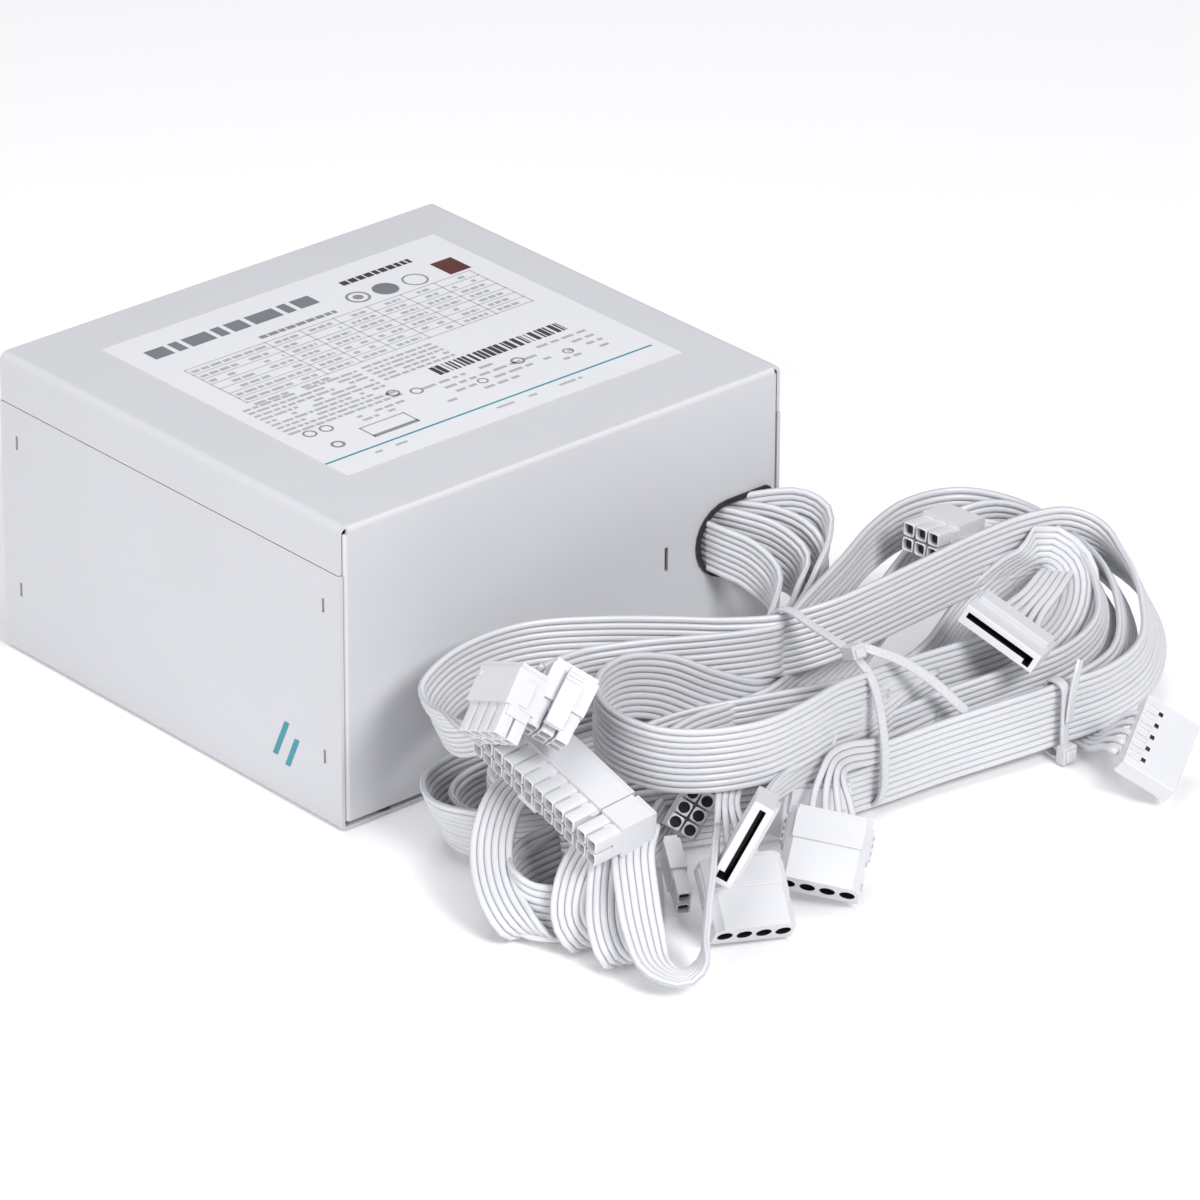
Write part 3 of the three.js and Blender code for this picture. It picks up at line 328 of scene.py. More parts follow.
# Painted shade: a near-black finish for the bottoms of the plugs' shallow holes and the walls of
# cut slots and bores, where deep holes would be in shade.
HOLE_SHADE = finish("painted_hole_shade", (0.03, 0.03, 0.035), 0.4, 0.35, 2000, 0.02, metal=0.4, seen=0.1)
BOARD = finish("board_laminate", (0.04, 0.12, 0.06), 0.3, 0.4, 900, 0.02, seen=0.1)
CLEAR = finish("insulation_film", (0.72, 0.68, 0.52), 0.1, 0.3, 500, 0.01, seen=0.06)
SLEEVE = finish("capacitor_sleeve", (0.02, 0.025, 0.04), 0.2, 0.3, 800, 0.01, seen=0.06)
ALUMINIUM = finish("mill_aluminium", (0.55, 0.56, 0.57), 0.15, 0.4, 1200, 0.02, metal=1.0, seen=0.1)
TAPE = finish("winding_tape", (0.62, 0.45, 0.08), 0.15, 0.35, 700, 0.01, seen=0.08)
COPPER = finish("enamelled_copper", (0.62, 0.26, 0.1), 0.2, 0.3, 1500, 0.05, metal=0.7, seen=0.1)
POWDER = finish("powder_core", (0.07, 0.16, 0.1), 0.2, 0.6, 1500, 0.04, seen=0.1)

INKS = {
    "grey": finish("ink_grey", (0.27, 0.275, 0.30), 0.15, 0.45, 3000, 0.004, seen=0.05),
    "pale": finish("ink_pale", (0.44, 0.445, 0.47), 0.10, 0.45, 3000, 0.004, seen=0.05),
    "dark": finish("ink_dark", (0.05, 0.05, 0.06), 0.25, 0.45, 3000, 0.004, seen=0.05),
    "head": finish("ink_heading", (0.20, 0.205, 0.23), 0.15, 0.45, 3000, 0.004, seen=0.05),
    "red": finish("ink_red", (0.12, 0.032, 0.028), 0.2, 0.4, 3000, 0.004, seen=0.05),
    "teal": finish("ink_teal", (0.03, 0.28, 0.36), 0.15, 0.4, 3000, 0.004, seen=0.05),
}

NODE_FINISH = {
    "rating_label": PAPER, "cable_bushing": BLACK, "inlet_housing": BLACK, "switch_bezel": BLACK,
    "switch_rocker": BLACK, "fan_frame": BLACK, "fan_rotor": BLACK, "fan_guard": ZINC,
    "main_board": BOARD, "control_board": BOARD, "insulation_sheet": CLEAR,
    "bulk_capacitor": SLEEVE, "primary_heatsink": ALUMINIUM, "secondary_heatsink": ALUMINIUM,
    "main_transformer": TAPE, "pfc_choke": POWDER, "output_choke": POWDER, "emi_choke": COPPER,
    "filter_capacitor": TAPE, "internal_harness": CABLE, "chassis_tray": PAINT, "fan_cover": PAINT,
}


def finish_of(name):
    if name in NODE_FINISH:
        return NODE_FINISH[name]
    if name.startswith("output_capacitor"):
        return SLEEVE
    if name.startswith(("cover_screw", "fan_screw", "standoff", "inlet_pin")):
        return ZINC
    return SHELL


def dress_nodes():
    for name, node in NODES.items():
        node.data.materials.clear()
        node.data.materials.append(finish_of(name))


dress_nodes()


# ---- meshes ----

def new_piece(name, points, faces, looks, body="case", smooth=True, groups=None):
    mesh = bpy.data.meshes.new(name)
    mesh.from_pydata([tuple(p) for p in points], [], faces)
    for look in looks:
        mesh.materials.append(look)
    if groups is not None:
        mesh.polygons.foreach_set("material_index", groups)
    mesh.polygons.foreach_set("use_smooth", [smooth] * len(mesh.polygons))
    mesh.update()
    piece = bpy.data.objects.new(name, mesh)
    bpy.context.scene.collection.objects.link(piece)
    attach(piece, body)
    return piece


def unit(v):
    v = np.asarray(v, float)
    return v / np.maximum(np.linalg.norm(v, axis=-1, keepdims=True), 1e-9)


def spline(points, cuts=8):
    """A centripetal curve through the points, cuts steps between each two."""
    p = np.array(points, float)
    q = np.vstack([2 * p[0] - p[1], p, 2 * p[-1] - p[-2]])
    line = []
    for i in range(1, len(q) - 2):
        a, b, c, d = q[i - 1:i + 3]
        t0 = 0.0
        t1 = t0 + np.linalg.norm((b - a)[:3]) ** 0.5
        t2 = t1 + np.linalg.norm((c - b)[:3]) ** 0.5
        t3 = t2 + np.linalg.norm((d - c)[:3]) ** 0.5
        for t in np.linspace(t1, t2, cuts, endpoint=False):
            ab = (t1 - t) / (t1 - t0) * a + (t - t0) / (t1 - t0) * b
            bc = (t2 - t) / (t2 - t1) * b + (t - t1) / (t2 - t1) * c
            cd = (t3 - t) / (t3 - t2) * c + (t - t2) / (t3 - t2) * d
            abc = (t2 - t) / (t2 - t0) * ab + (t - t0) / (t2 - t0) * bc
            bcd = (t3 - t) / (t3 - t1) * bc + (t - t1) / (t3 - t1) * cd
            line.append((t2 - t) / (t2 - t1) * abc + (t - t1) / (t2 - t1) * bcd)
    line.append(p[-1])
    return np.array(line)


def even(line, step):
    """The same line with its points step apart, in millimetres."""
    gaps = np.linalg.norm(np.diff(line[:, :3], axis=0), axis=1)
    along = np.concatenate([[0], np.cumsum(gaps)])
    count = max(3, int(round(along[-1] / step)))
    at = np.linspace(0, along[-1], count + 1)
    return np.stack([np.interp(at, along, line[:, k]) for k in range(line.shape[1])], 1)


def frames(line):
    """Centres, directions across the flat and normals of a cable, along its line."""
    centre = line[:, :3]
    along = unit(np.gradient(centre, axis=0))
    across = unit(line[:, 3:6] - (line[:, 3:6] * along).sum(1)[:, None] * along)
    return centre, across, np.cross(along, across)


def wire_section():
    """A wire's section: offsets across the flat cable, and out of it, where it is a bit flatter."""
    angle = np.arange(WIRE_SIDES) / WIRE_SIDES * 2 * np.pi
    return np.cos(angle) * WIRE, np.sin(angle) * WIRE * FLATTENING


def ease(distance):
    """From 1 at a plug down to 0 at FAN_OUT from it, without a corner."""
    near = np.clip(1 - distance / FAN_OUT, 0, 1)
    return near ** 2 * (3 - 2 * near)


def wire_points(name, wires, line, end_pitch, wander):
    """Points of every wire round the line, as (place along it, wire, side)."""
    centre, across, normal = frames(line)
    at = np.concatenate([[0], np.cumsum(np.linalg.norm(np.diff(centre, axis=0), axis=1))])
    pitch = PITCH + (end_pitch - PITCH) * ease(at[-1] - at)
    side, out = wire_section()
    middle = np.arange(wires) - (wires - 1) / 2
    phase = np.random.RandomState(len(name) * 7 + wires).rand(wires) * PHASES
    points = np.zeros((len(centre), wires, WIRE_SIDES, 3))
    for i in range(wires):
        slow = np.sin(at / WAVES[0] + phase[i])
        drift = wander * slow * (1 + 0.3 * np.sin(at / WAVES[1] + phase[i] * 2))
        shift = middle[i] * pitch
        base = centre + across * shift[:, None] + normal * drift[:, None]
        for j in range(WIRE_SIDES):
            points[:, i, j] = base + across * side[j] + normal * out[j]
    return points


def wire_faces(count, wires):
    """The walls and the two ends of every wire, for count places along the cable."""
    faces = []
    for i in range(wires):
        for k in range(count - 1):
            a = (k * wires + i) * WIRE_SIDES
            b = ((k + 1) * wires + i) * WIRE_SIDES
            for j in range(WIRE_SIDES):
                n = (j + 1) % WIRE_SIDES
                faces.append((a + j, a + n, b + n, b + j))
        first = i * WIRE_SIDES
        last = ((count - 1) * wires + i) * WIRE_SIDES
        faces.append(tuple(first + j for j in reversed(range(WIRE_SIDES))))
        faces.append(tuple(last + j for j in range(WIRE_SIDES)))
    return faces


def flat_cable(name, wires, points, end_pitch, wander):
    """A flat cable of joined wires, which part near its plug where the pitch there is wider."""
    line = even(spline(points), CABLE_STEP)
    wire = wire_points(name, wires, line, end_pitch, wander)
    faces = wire_faces(len(line), wires)
    piece = new_piece(name, wire.reshape(-1, 3) * MM, faces, [CABLE])
    # Painted shade: each wire is coloured darker towards its sides, where it meets its neighbours,
    # by an attribute on its points.
    side = np.abs(wire_section()[0]) / WIRE
    deep = PAINTED_SHADE_STRENGTH * np.maximum(0.0, side - PAINTED_SHADE_FROM) / (1 - PAINTED_SHADE_FROM)
    painted_groove_shade = np.broadcast_to(deep, wire.shape[:3])
    mark = piece.data.attributes.new("painted_groove_shade", "FLOAT", "POINT")
    mark.data.foreach_set("value", painted_groove_shade.reshape(-1).astype(np.float32))
    return piece, line[:, :3] * MM


# ---- plugs ----
# Each is drawn with its mating face on the plane w = 0, facing +w, its rows along u and its
# thickness along v, then turned so that +w is the way it mates.

def pose(at, mate, row):
    w = Vector(mate).normalized()
    u = Vector(row)
    u = (u - w * u.dot(w)).normalized()
    v = w.cross(u)
    turn = Matrix((u, v, w)).transposed().to_4x4()
    return Matrix.Translation(Vector(at) * MM) @ turn


POWER_PITCH = 4.2  # of the 24-pin, processor and PCIe plugs
TOWER_HALF = 1.86  # half the width of the tower round each of their holes
TOWER_LENGTH = 8.2
DRIVE_PITCH = 5.08
DRIVE_BORE = 2.0  # radius
SATA_PITCH = 4.0  # of the groups of a SATA plug's wires
MAIN_AT = (-69.5, -133.5, 36.6)
PLUG_FACING = (-0.986, 0.088, -0.144)  # the way the 24-pin plug mates
PLUG_ROW = (-0.053, -0.971, -0.234)
PCIE_AT = (-67.6, -138.6, 51.8)
PCIE_FACING = (-0.77, -0.26, -0.58)
PCIE_ROW = (0.59, -0.62, -0.51)


class Shell:
    """A moulded shell put together from boxes and sleeves, in millimetres."""

    def __init__(self):
        self.points = []
        self.faces = []
        self.groups = []

    def add(self, points, faces, group=0):
        base = len(self.points)
        self.points += points
        self.faces += [tuple(base + i for i in face) for face in faces]
        self.groups += [group] * len(faces)

    def box(self, u0, u1, v0, v1, w0, w1):
        corners = [(u, v, w) for w in (w0, w1) for v in (v0, v1) for u in (u0, u1)]
        self.add(corners, [(0, 2, 3, 1), (4, 5, 7, 6), (0, 1, 5, 4), (2, 6, 7, 3), (0, 4, 6, 2),
                           (1, 3, 7, 5)])

    def prism(self, outline, w0, w1, group=0):
        count = len(outline)
        points = [(u, v, w) for w in (w0, w1) for u, v in outline]
        walls = [(i, (i + 1) % count, count + (i + 1) % count, count + i) for i in range(count)]
        ends = [tuple(reversed(range(count))), tuple(range(count, 2 * count))]
        self.add(points, walls + ends, group)

    def sleeve(self, u, v, outer, inner, long, hole, deep):
        """A hollow tower on the mating side, with a black cap at the bottom of its shallow hole:
        painted shade, where a deep hole would be dark.

        hole is how square the hole is: 2 is round, and 9 has small corners."""
        count = 20
        tower = 9.0
        rings = [(outer, tower, -long), (outer, tower, -0.25), (outer - 0.2, tower, 0),
                 (inner + 0.1, hole, 0), (inner, hole, -0.3), (inner, hole, -deep)]
        loops = []
        for half, power, w in rings:
            for i in range(count):
                a = 2 * math.pi * (i + 0.5) / count
                c, s = math.cos(a), math.sin(a)
                size = half / (abs(c) ** power + abs(s) ** power) ** (1 / power)
                loops.append((u + c * size, v + s * size, w))
        walls = []
        for k in range(len(rings) - 1):
            for i in range(count):
                n = (i + 1) % count
                walls.append((k * count + i, k * count + n, (k + 1) * count + n,
                              (k + 1) * count + i))
        self.add(loops, walls)
        # The black cap: painted shade at the bottom of the hole.
        self.add(loops[-count:], [tuple(range(count))], 1)

    def make(self, name, place, body="case", soft=0.3):
        points = [place @ (Vector(p) * MM) for p in self.points]
        piece = new_piece(name, points, self.faces, [SHELL, HOLE_SHADE], body,
                          groups=self.groups)
        soften(piece, soft)
        return piece


def soften(piece, width, segments=2):
    edge = piece.modifiers.new("soft_edges", "BEVEL")
    edge.width = width * MM
    edge.segments = segments
    edge.limit_method = "ANGLE"
    edge.angle_limit = math.radians(35)
    edge.harden_normals = True


def power_plug(name, columns, length, at, mate, row, hole=6.0, inner=1.4, deep=1.5):
    """A power plug: two rows of sleeves in front of a plain body."""
    shell = Shell()
    half = length / 2
    for i in range(columns):
        u = (i - (columns - 1) / 2) * POWER_PITCH
        for v in (-POWER_PITCH / 2, POWER_PITCH / 2):
            shell.sleeve(u, v, TOWER_HALF, inner, TOWER_LENGTH, hole, deep)
    shell.box(-half, half, -4.8, 4.8, -17.5, -8.0)
    shell.box(-half + 0.5, half - 0.5, -4.2, 4.2, -19.0, -17.0)
    shell.box(-half + 0.2, half - 0.2, -3.4, 3.4, -9.0, -5.5)
    if columns > 2:
        for side in (-1, 1):
            shell.box(side * half - 0.55, side * half + 0.55, -1.2, 1.2, -15.5, -8.8)
    return shell.make(name, pose(at, mate, row))


def make_power_plugs():
    main = power_plug("shell_24pin_main", 10, 42.6, MAIN_AT, PLUG_FACING, PLUG_ROW)
    side = power_plug("shell_24pin_side", 2, 8.6, (-70.9, -158.8, 30.5), PLUG_FACING, PLUG_ROW)
    cpu = power_plug("shell_cpu", 4, 17.8, (-82.2, -135.2, 55.2), (-0.69, -0.21, -0.69),
                     (-0.07, -0.93, 0.36))
    latched = power_plug("shell_pcie_latched", 3, 12.8, PCIE_AT, PCIE_FACING, PCIE_ROW)
    six = power_plug("shell_pcie_six", 3, 12.8, (-27, -149, 21), (-0.59, -0.67, 0.45),
                     (-0.64, 0.05, -0.77), hole=2.0, inner=1.45, deep=1.2)
    two = power_plug("shell_pcie_two", 1, 4.4, (-43.2, -164.5, 7), (-0.46, -0.81, -0.36),
                     (0.87, -0.5, 0.02))
    back = power_plug("shell_back", 3, 12.8, (87, -111, 45.6), (-0.98, -0.1, 0.1),
                      (-0.1, 0.99, 0))
    for node, piece in (("plug_back", back), ("plug_24pin_main", main), ("plug_24pin_side", side),
                        ("plug_cpu", cpu), ("plug_pcie_latched", latched),
                        ("plug_pcie_six", six), ("plug_pcie_two", two)):
        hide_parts(node)


def lever(name, width, place, side, body, node):
    """The sprung lever of a latched plug: a bowed arm on two short posts, with a hook in front."""
    shell = Shell()
    half = width / 2
    low = 6.1
    thick = 1.1
    rows = [(-17.0, low + 0.5), (-15.0, low + 0.35), (-12.0, low + 0.15), (-9.0, low),
            (-6.0, low + 0.05), (-3.0, low + 0.2), (-1.5, low + 0.3)]
    outline = rows + [(w, v + thick) for w, v in reversed(rows)]
    points = [(u, side * v, w) for u in (-half, half) for w, v in outline]
    count = len(outline)
    walls = [(i, (i + 1) % count, count + (i + 1) % count, count + i) for i in range(count)]
    shell.add(points, walls + [tuple(range(count)), tuple(range(count, 2 * count))])
    near, far = sorted((side * (low - 0.8), side * (low + 0.6)))
    shell.box(-half, half, near, far, -2.7, -1.5)
    near, far = sorted((side * 5.2, side * (low + 0.4)))
    shell.box(-half, -half + 1.2, near, far, -10.4, -8.4)
    shell.box(half - 1.2, half, near, far, -10.4, -8.4)
    for i in range(3):
        w = -16.4 + i * 1.1
        near, far = sorted((side * (low + 1.2), side * (low + 1.9)))
        shell.box(-half + 0.3, half - 0.3, near, far, w, w + 0.5)
    piece = shell.make(name, place, body, soft=0.2)
    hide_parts(node)


def carve(piece, cutter):
    """Cuts one shape out of another. The cut faces keep the cutter's black finish, painted shade
    inside the cut.
    """
    cut = piece.modifiers.new("cut", "BOOLEAN")
    cut.operation = "DIFFERENCE"
    cut.solver = "EXACT"
    cut.object = cutter
    bpy.context.view_layer.update()
    graph = bpy.context.evaluated_depsgraph_get()
    mesh = bpy.data.meshes.new_from_object(piece.evaluated_get(graph))
    piece.modifiers.clear()
    piece.data = mesh
    bpy.data.objects.remove(cutter)


def plain_object(name, shell, place):
    points = [tuple(place @ (Vector(p) * MM)) for p in shell.points]
    mesh = bpy.data.meshes.new(name)
    mesh.from_pydata(points, [], shell.faces)
    mesh.materials.append(SHELL)
    mesh.materials.append(HOLE_SHADE)
    mesh.polygons.foreach_set("material_index", shell.groups)
    mesh.update()
    solid = bpy.data.objects.new(name, mesh)
    bpy.context.scene.collection.objects.link(solid)
    return solid


def settle(solid, soft):
    soften(solid, soft)
    solid.data.polygons.foreach_set("use_smooth", [True] * len(solid.data.polygons))
    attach(solid, "case")


def sata_plug(name, node, depth, at, mate, row, dots=False):
    """A flat plug with one long keyed slot. dots adds the five holes over its crimps."""
    place = pose(at, mate, row)
    shell = Shell()
    half = 11.7
    shell.box(-half, half, -2.8, 2.8, -depth, 0)
    solid = plain_object(name, shell, place)
    # The slot and the dots are cut with the black finish, so shade is painted inside them.
    slot = Shell()
    slot.prism([(-half + 1.5, -0.5), (half - 3.4, -0.5), (half - 3.4, -1.9), (half - 1.6, -1.9),
                (half - 1.6, 1.0), (-half + 1.5, 1.0)], -6, 1, 1)
    carve(solid, plain_object("slot", slot, place))
    groups = [(k - 2) * SATA_PITCH for k in range(5)] if dots else []
    for u in groups:
        hole = Shell()
        hole.prism([(u - 0.55, -3.2), (u + 0.55, -3.2), (u + 0.55, -2.1), (u - 0.55, -2.1)],
                   -11.6, -10.5, 1)
        carve(solid, plain_object("dot", hole, place))
    settle(solid, 0.35)
    extras = Shell()
    extras.box(-half + 1, half - 1, 2.4, 4.0, -depth + 1, -depth + 7)
    for u in groups:
        extras.box(u - 1.5, u - 0.9, -3.35, -2.6, -depth + 0.4, -12.2)
        extras.box(u + 0.9, u + 1.5, -3.35, -2.6, -depth + 0.4, -12.2)
    extras.make(name + "_trim", place, soft=0.2)
    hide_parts(node)


def drive_plug(name, node, at, mate, row, grip=False):
    """A four-way drive plug with two bevelled corners. grip adds ribs to its narrow sides."""
    place = pose(at, mate, row)
    shell = Shell()
    half, thick = 10.5, 4.25
    outline = [(-half, -thick), (half, -thick), (half, thick - 2), (half - 2, thick),
               (-half + 2, thick), (-half, thick - 2)]
    shell.prism(outline, -20, 0)
    solid = plain_object(name, shell, place)
    # The bores are cut with the black finish, so shade is painted inside them.
    for i in (-1.5, -0.5, 0.5, 1.5):
        bore = Shell()
        ring = [(i * DRIVE_PITCH + DRIVE_BORE * math.cos(a), DRIVE_BORE * math.sin(a))
                for a in np.linspace(0, 2 * math.pi, 20, endpoint=False)]
        bore.prism(ring, -9, 1, 1)
        carve(solid, plain_object("bore", bore, place))
    settle(solid, 0.4)
    extras = Shell()
    extras.box(-half - 0.5, half + 0.5, -thick + 0.4, thick - 2.4, -6.2, -3.4)
    extras.box(-half + 1.5, half - 1.5, thick - 0.4, thick + 0.5, -19, -11)
    for side in (-1, 1):
        extras.box(side * half - 0.6, side * half + 0.6, -2.6, 1.4, -18.5, -9.5)
        if grip:
            for k in range(4):
                w = -17.6 + k * 2.0
                extras.box(side * half - 1.1, side * half + 1.1, -2.0, 0.9, w, w + 1.0)
    extras.make(name + "_trim", place, soft=0.25)
    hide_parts(node)


def make_flat_plugs():
    sata_plug("shell_sata_front", "plug_sata_front", 14, (-43.2, -185.6, 31.9),
              (-0.72, -0.66, 0.2), (-0.44, 0.21, -0.88))
    sata_plug("shell_sata_lobe", "plug_sata_lobe", 14, (76.5, -152, 36.5),
              (-0.87, -0.47, 0.16), (0.36, -0.81, -0.46))
    sata_plug("shell_sata_end", "plug_sata_end", 16, (102, -194.5, 8.2),
              (0.58, -0.62, -0.54), (-0.82, -0.44, -0.37), dots=True)
    drive_plug("shell_drive_left", "plug_drive_left", (-37.6, -184.3, 4.7),
               (-0.35, -0.7, -0.62), (0.91, -0.41, -0.05))
    drive_plug("shell_drive_right", "plug_drive_right", (-12.4, -180, 6.4),
               (-0.65, -0.44, -0.61), (0.65, -0.74, -0.16), grip=True)
    sata_plug("shell_sata_middle", "plug_sata_middle", 14, (4.8, -156.2, 6.5),
              (-0.3, -0.1, -0.95), (0.95, 0, -0.3))


make_power_plugs()
make_flat_plugs()
lever("lever_24pin", 7, pose(MAIN_AT, PLUG_FACING, PLUG_ROW), -1, "main_latch", "latch_24pin")
lever("lever_pcie", 5, pose(PCIE_AT, PCIE_FACING, PCIE_ROW), 1, "pcie_latch", "latch_pcie")


# ---- ties ----

TIE_X = 34  # of the main tie
SMALL_TIE_X = 91


def strap(name, rows, width, thick, node=None, closed=False):
    """A nylon strap along a line of (point, way out of it), with a toothed inner side."""
    points = []
    count = len(rows)
    centre = np.array([r[0] for r in rows], float)
    out = unit(np.array([r[1] for r in rows], float))
    if closed:
        along = unit(np.roll(centre, -1, 0) - np.roll(centre, 1, 0))
    else:
        along = unit(np.gradient(centre, axis=0))
    across = unit(np.cross(along, out))
    half = width / 2
    for i in range(count):
        tooth = 0.12 if i % 2 else 0.0
        section = [(-half, 0), (-half, thick - 0.3), (-half + 0.35, thick), (half - 0.35, thick),
                   (half, thick - 0.3), (half, 0), (half * 0.55, 0.15 - tooth),
                   (-half * 0.55, 0.15 - tooth)]
        for a, o in section:
            points.append(centre[i] + across[i] * a + out[i] * o)
    n = len(section)
    faces = []
    for i in range(count if closed else count - 1):
        k = (i + 1) % count
        for j in range(n):
            faces.append((i * n + j, i * n + (j + 1) % n, k * n + (j + 1) % n, k * n + j))
    if not closed:
        faces.append(tuple(reversed(range(n))))
        faces.append(tuple(range((count - 1) * n, count * n)))
    piece = new_piece(name, np.array(points) * MM, faces, [NYLON])
    soften(piece, 0.12, 1)
    if node:
        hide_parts(node)


def make_main_tie():
    loop = [(-102, 25), (-108.5, 33), (-111.8, 41), (-117, 45.2), (-128, 44.2), (-141, 42.2),
            (-148.8, 38.2), (-153, 28), (-154.6, 16.8), (-153.4, 6), (-147, 1.2), (-125, 1),
            (-104, 1.2), (-98, 7), (-97.4, 16), (-102, 25)]
    path = even(spline([(TIE_X, y, z) for y, z in loop], 10), 1.2)[:-1]
    hub = np.array([TIE_X, -126, 23])
    ahead = unit(np.roll(path, -1, 0) - np.roll(path, 1, 0))
    rows = []
    for point, along in zip(path, ahead):
        out = np.cross(along, (1, 0, 0))
        rows.append((tuple(point), tuple(out if out.dot(point - hub) > 0 else -out)))
    strap("strap_main", rows, 2.6, 1.0, "bundle_tie", closed=True)
    head = Shell()
    head.box(-2.2, 2.2, -2.4, 2.4, -2.3, 1.6)
    head.box(-1.6, 1.6, -3.1, 3.1, -1.9, 0.6)
    turn = Matrix.Rotation(math.radians(-22), 4, "X")
    place = Matrix.Translation(Vector((TIE_X, -142.5, 43.6)) * MM) @ turn
    block = head.make("strap_main_head", place, soft=0.45)
    block.data.materials[0] = NYLON
    tail = [((35, -142.5, 44.6), (-0.2, -0.4, 1)), ((38.3, -146, 43.2), (-0.35, -0.5, 0.8)),
            ((43.5, -148, 40.4), (-0.45, -0.6, 0.6)), ((49, -149.5, 36.2), (-0.5, -0.65, 0.5)),
            ((55, -151, 30.5), (-0.5, -0.7, 0.5)), ((60, -152.5, 24.8), (-0.5, -0.7, 0.5)),
            ((64, -153.6, 20), (-0.5, -0.7, 0.5))]
    line = even(spline([p + o for p, o in tail], 6), 0.8)
    strap("strap_main_tail", [(row[:3], row[3:]) for row in line], 2.6, 0.9)


def make_small_tie():
    front, back, low, high = -163, -155.5, 0.3, 23
    radius = 3.0
    rows = []
    for cy, cz, start in ((back - radius, low + radius, -90), (back - radius, high - radius, 0),
                          (front + radius, high - radius, 90), (front + radius, low + radius, 180)):
        for k in range(7):
            a = math.radians(start + 15 * k)
            out = (0, math.cos(a), math.sin(a))
            at = (SMALL_TIE_X, cy + out[1] * (radius - 1), cz + out[2] * (radius - 1))
            rows.append((at, out))
    strap("strap_small", rows, 2.6, 1.0, "small_tie", closed=True)
    head = Shell()
    head.box(-2.4, 2.4, -2.0, 1.2, 0.3, 5.2)
    head.box(-1.7, 1.7, -2.7, -1.8, 1.0, 4.4)
    place = Matrix.Translation(Vector((SMALL_TIE_X, front, 0)) * MM)
    block = head.make("strap_small_head", place, soft=0.5)
    block.data.materials[0] = NYLON
    tail = [(91.3, front - 0.3, 12), (91.6, front - 0.6, 17), (92.4, front - 0.6, 21.5),
            (94, front, 25), (96, front + 1, 28)]
    line = even(spline([p + (0, -1, 0) for p in tail], 6), 0.8)
    strap("strap_small_tail", [(row[:3], row[3:]) for row in line], 2.4, 0.8)


make_main_tie()
make_small_tie()


# ---- cables ----

def make_cables():
    made = {}
    for name, (wires, points) in ROUTES.items():
        pitch = PLUGS_AT[name][1] if name in PLUGS_AT else PITCH
        wander = WIDE if wires > 6 else NARROW
        made[name] = (*flat_cable(name, wires, points, pitch, wander), wires)
    return made


def declare_cables(cables):
    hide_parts("cable_fan_out", "cable_hank")


declare_cables(make_cables())


# ---- floor and light ----

FLOOR_REACH = 4.0
FLOOR_GAP = 0.0003  # keeps the floor out of the case's lowest face


def make_floor():
    mesh = bpy.data.meshes.new("floor")
    r = FLOOR_REACH
    mesh.from_pydata([(-r, -r, 0), (r, -r, 0), (r, r, 0), (-r, r, 0)], [], [(0, 1, 2, 3)])
    floor = bpy.data.objects.new("floor", mesh)
    floor.location.z = -FLOOR_GAP
    bpy.context.scene.collection.objects.link(floor)
    look = finish("floor_paper", (0.95, 0.95, 0.952), 0.01, 0.8, 40, 0.0, patch=2)
    glow = look.node_tree.nodes["Principled BSDF"]
    glow.inputs["Emission Color"].default_value = (1, 1, 1, 1)
    glow.inputs["Emission Strength"].default_value = 0.10
    mesh.materials.append(look)


def make_light(name, at, aim, size, power):
    data = bpy.data.lights.new(name, "AREA")
    data.shape = "RECTANGLE"
    data.size, data.size_y = size
    data.energy = power
    lamp = bpy.data.objects.new(name, data)
    lamp.location = at
    away = Vector(at) - Vector(aim)
    lamp.rotation_euler = away.to_track_quat("Z", "Y").to_euler()
    bpy.context.scene.collection.objects.link(lamp)


def make_lights():
    world = bpy.data.worlds.new("studio")
    world.use_nodes = True
    sky = world.node_tree.nodes["Background"]
    sky.inputs["Color"].default_value = (0.93, 0.94, 1.0, 1)
    sky.inputs["Strength"].default_value = 0.27
    bpy.context.scene.world = world
    bpy.context.scene.view_settings.view_transform = "Standard"
    make_light("key", (-1.25, -0.3, 0.5), (0, 0, 0.04), (0.8, 0.8), 7.6)
    make_light("top", (-0.05, 0.0, 1.4), (0, -0.05, 0.0), (0.9, 0.9), 7.4)
    make_light("front", (-0.15, -2.1, 1.7), (0.0, -0.07, 0.08), (1.0, 0.8), 49)


make_floor()
make_lights()


# ---- print on the label ----

def bars(rng, x0, x1, y, height, low, high, gap, ink, fill=1.0):
    """A row of short plain bars where such a label carries small print."""
    marks = []
    x = x0
    while x < x1:
        long = rng.uniform(low, high)
        if rng.rand() < fill:
            marks.append((x, min(x + long, x1), y, y + height, ink))
        x += long + gap
    return marks


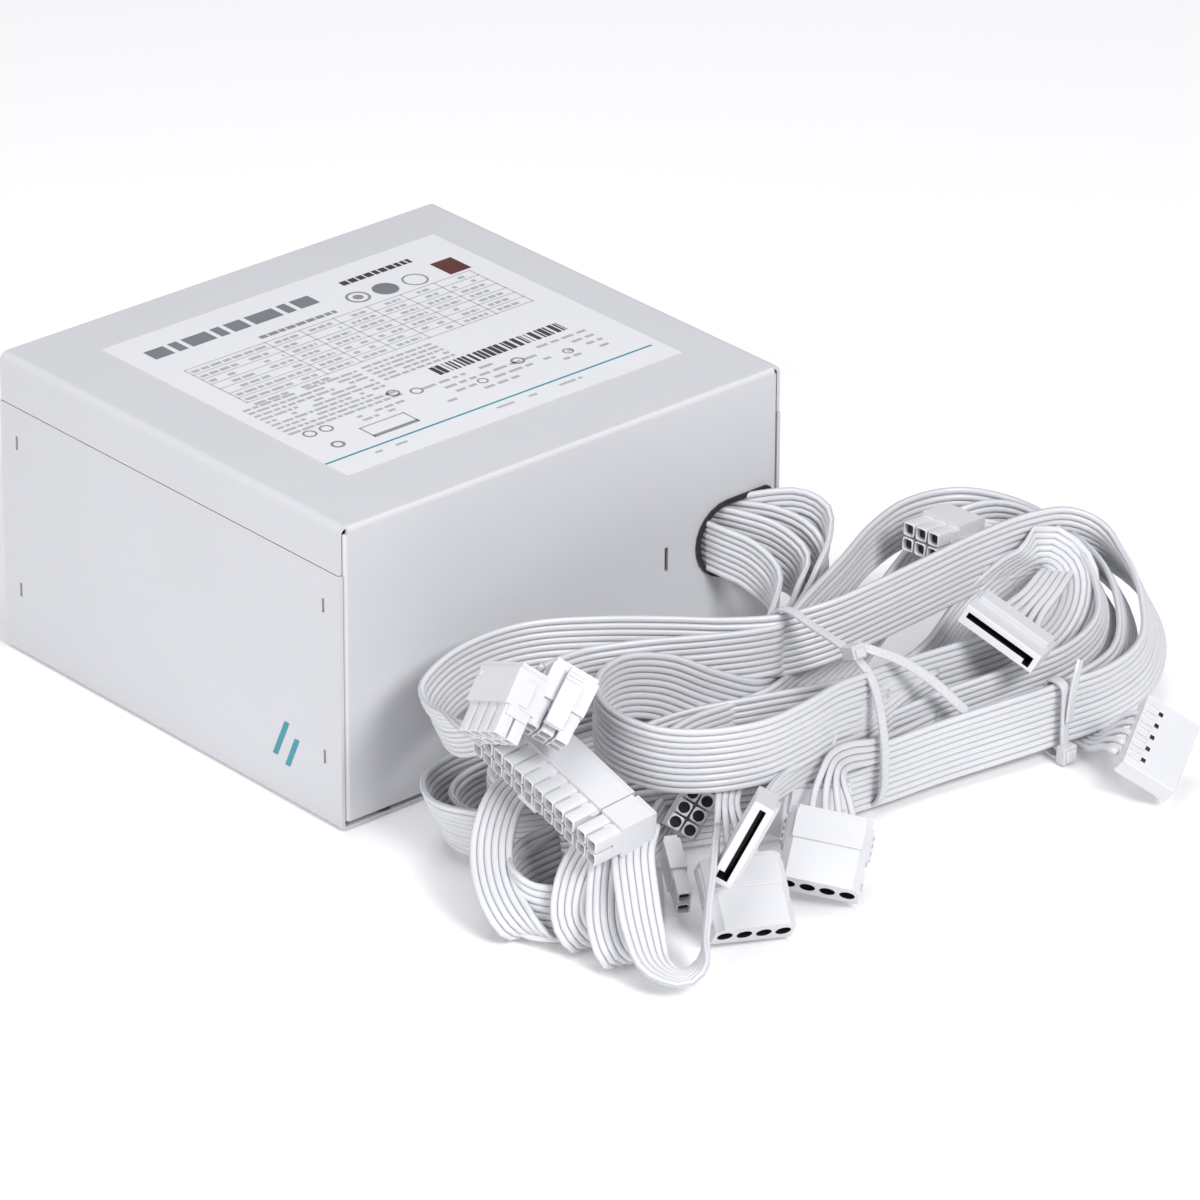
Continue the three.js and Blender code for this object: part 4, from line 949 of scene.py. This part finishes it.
def label_marks():
    """Bars, a block and rules on the label, as (x0, x1, y0, y1, ink)."""
    rng = np.random.RandomState(4)
    marks = []
    x = -47.0
    for width in (6.4, 3.0, 8.2, 3.0, 5.6, 9.4, 3.0, 6.4):
        marks.append((x, x + width, 38.6, 44.2, "head"))
        x += width + 1.5
    marks += bars(rng, 20, 44, 42.6, 2.5, 1.4, 2.4, 0.5, "dark")
    marks += bars(rng, -18, 8, 30.6, 1.7, 1.6, 3.6, 0.5, "grey")
    marks.append((46.3, 53.6, 29.6, 38.4, "red"))
    for k in range(8):
        y = 28.2 - k * 3.7
        marks.append((-46, 52, y, y + 0.35, "pale"))
        marks += bars(rng, -45, -20, y - 2.5, 1.3, 1.5, 4.0, 0.7, "pale", 0.8)
        if k < 7:
            for column in range(6):
                left = -17 + column * 11.6
                marks += bars(rng, left, left + 8, y - 2.5, 1.3, 1.2, 2.6, 0.6, "pale", 0.75)
    for x in (-46, -19, -7.4, 4.2, 15.8, 27.4, 39, 51.65):
        marks.append((x, x + 0.35, 2.3, 28.5, "pale"))
    for k in range(9):
        marks += bars(rng, -50, -12, -1.6 - k * 2.3, 1.1, 1.2, 4.4, 0.6, "pale", 0.9)
    for k in range(5):
        marks += bars(rng, -10, 14, -1.2 - k * 2.3, 1.1, 1.2, 3.8, 0.6, "pale", 0.9)
    x = 3.0
    while x < 47:
        wide = rng.choice([0.35, 0.7, 1.1, 1.5])
        marks.append((x, x + wide, -17.2, -12.0, "dark"))
        x += wide + rng.choice([0.35, 0.5, 0.9])
    for k in range(4):
        marks += bars(rng, -6, 50, -21.2 - k * 3.4, 1.2, 1.4, 4.6, 1.2, "pale", 0.55)
    for k in range(2):
        marks += bars(rng, -30, -12, -23.4 - k * 2.4, 1.1, 1.4, 3.2, 0.8, "pale", 0.8)
    marks += [(-34, -19, -35.0, -33.6, "grey"), (-34, -19, -28.6, -28.2, "grey"),
              (-34, -33.6, -35.0, -28.2, "grey"), (-19.4, -19, -35.0, -28.2, "grey")]
    marks.append((-54, 57, -39.4, -38.7, "teal"))
    marks += bars(rng, -40, 30, -42.6, 1.0, 2.0, 6.0, 1.0, "pale", 0.5)
    return marks


ROUND_SIDES = 28

DISCS = [  # rings and discs, as (x, y, outer radius, inner radius, ink)
    (18.2, 34.6, 3.5, 2.7, "grey"), (18.2, 34.6, 1.5, 0.0, "grey"),
    (27.2, 34.0, 3.7, 0.0, "head"), (37.0, 33.4, 3.7, 3.1, "grey"),
    (24, -23.5, 2.0, 1.3, "grey"), (-45.5, -22.5, 2.0, 1.4, "grey"),
    (-40.3, -22.8, 2.0, 1.4, "grey"), (-13.5, -17.5, 1.9, 1.3, "grey"),
    (-8.0, -20.5, 1.9, 1.3, "grey"), (-44.0, -32.0, 2.0, 1.2, "grey"),
    (38, -27.5, 1.6, 1.1, "grey"), (9, -27.0, 1.6, 1.1, "grey")]

INK_ORDER = ["grey", "pale", "dark", "red", "teal", "head"]
PRINT_LIFT = 0.03  # of the print over its label
SIDE_MARK_X = -75.05


def round_mark(base, x, y, outer, inner):
    """A disc, or a ring where inner isn't 0: its points and faces, numbered from base."""
    count = ROUND_SIDES
    turn = np.linspace(0, 2 * math.pi, count, endpoint=False)
    points = [(x + outer * math.cos(a), y + outer * math.sin(a)) for a in turn]
    if inner == 0:
        return points, [tuple(base + i for i in range(count))]
    points += [(x + inner * math.cos(a), y + inner * math.sin(a)) for a in turn]
    faces = []
    for i in range(count):
        n = (i + 1) % count
        faces.append((base + i, base + n, base + count + n, base + count + i))
    return points, faces


def make_label_print():
    points, faces, groups = [], [], []
    for x0, x1, y0, y1, ink in label_marks():
        base = len(points)
        points += [(x0, y0), (x1, y0), (x1, y1), (x0, y1)]
        faces.append((base, base + 1, base + 2, base + 3))
        groups.append(INK_ORDER.index(ink))
    for x, y, outer, inner, ink in DISCS:
        added, walls = round_mark(len(points), x, y, outer, inner)
        points += added
        faces += walls
        groups += [INK_ORDER.index(ink)] * len(walls)
    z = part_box("rating_label")[1].z / MM + PRINT_LIFT
    places = np.array([(x, y, z) for x, y in points]) * MM
    looks = [INKS[ink] for ink in INK_ORDER]
    new_piece("label_print", places, faces, looks, smooth=False, groups=groups)


def make_side_mark():
    """A plain mark of two slanted bars low on the left side."""
    outline = [(-42, 12), (-44, 12), (-49, 23), (-47, 23),
               (-47, 10.5), (-49, 10.5), (-53, 19.5), (-51, 19.5)]
    points = np.array([(SIDE_MARK_X, y, z) for y, z in outline]) * MM
    new_piece("side_mark", points, [(0, 1, 2, 3), (4, 5, 6, 7)], [INKS["teal"]],
              smooth=False)


make_label_print()
make_side_mark()
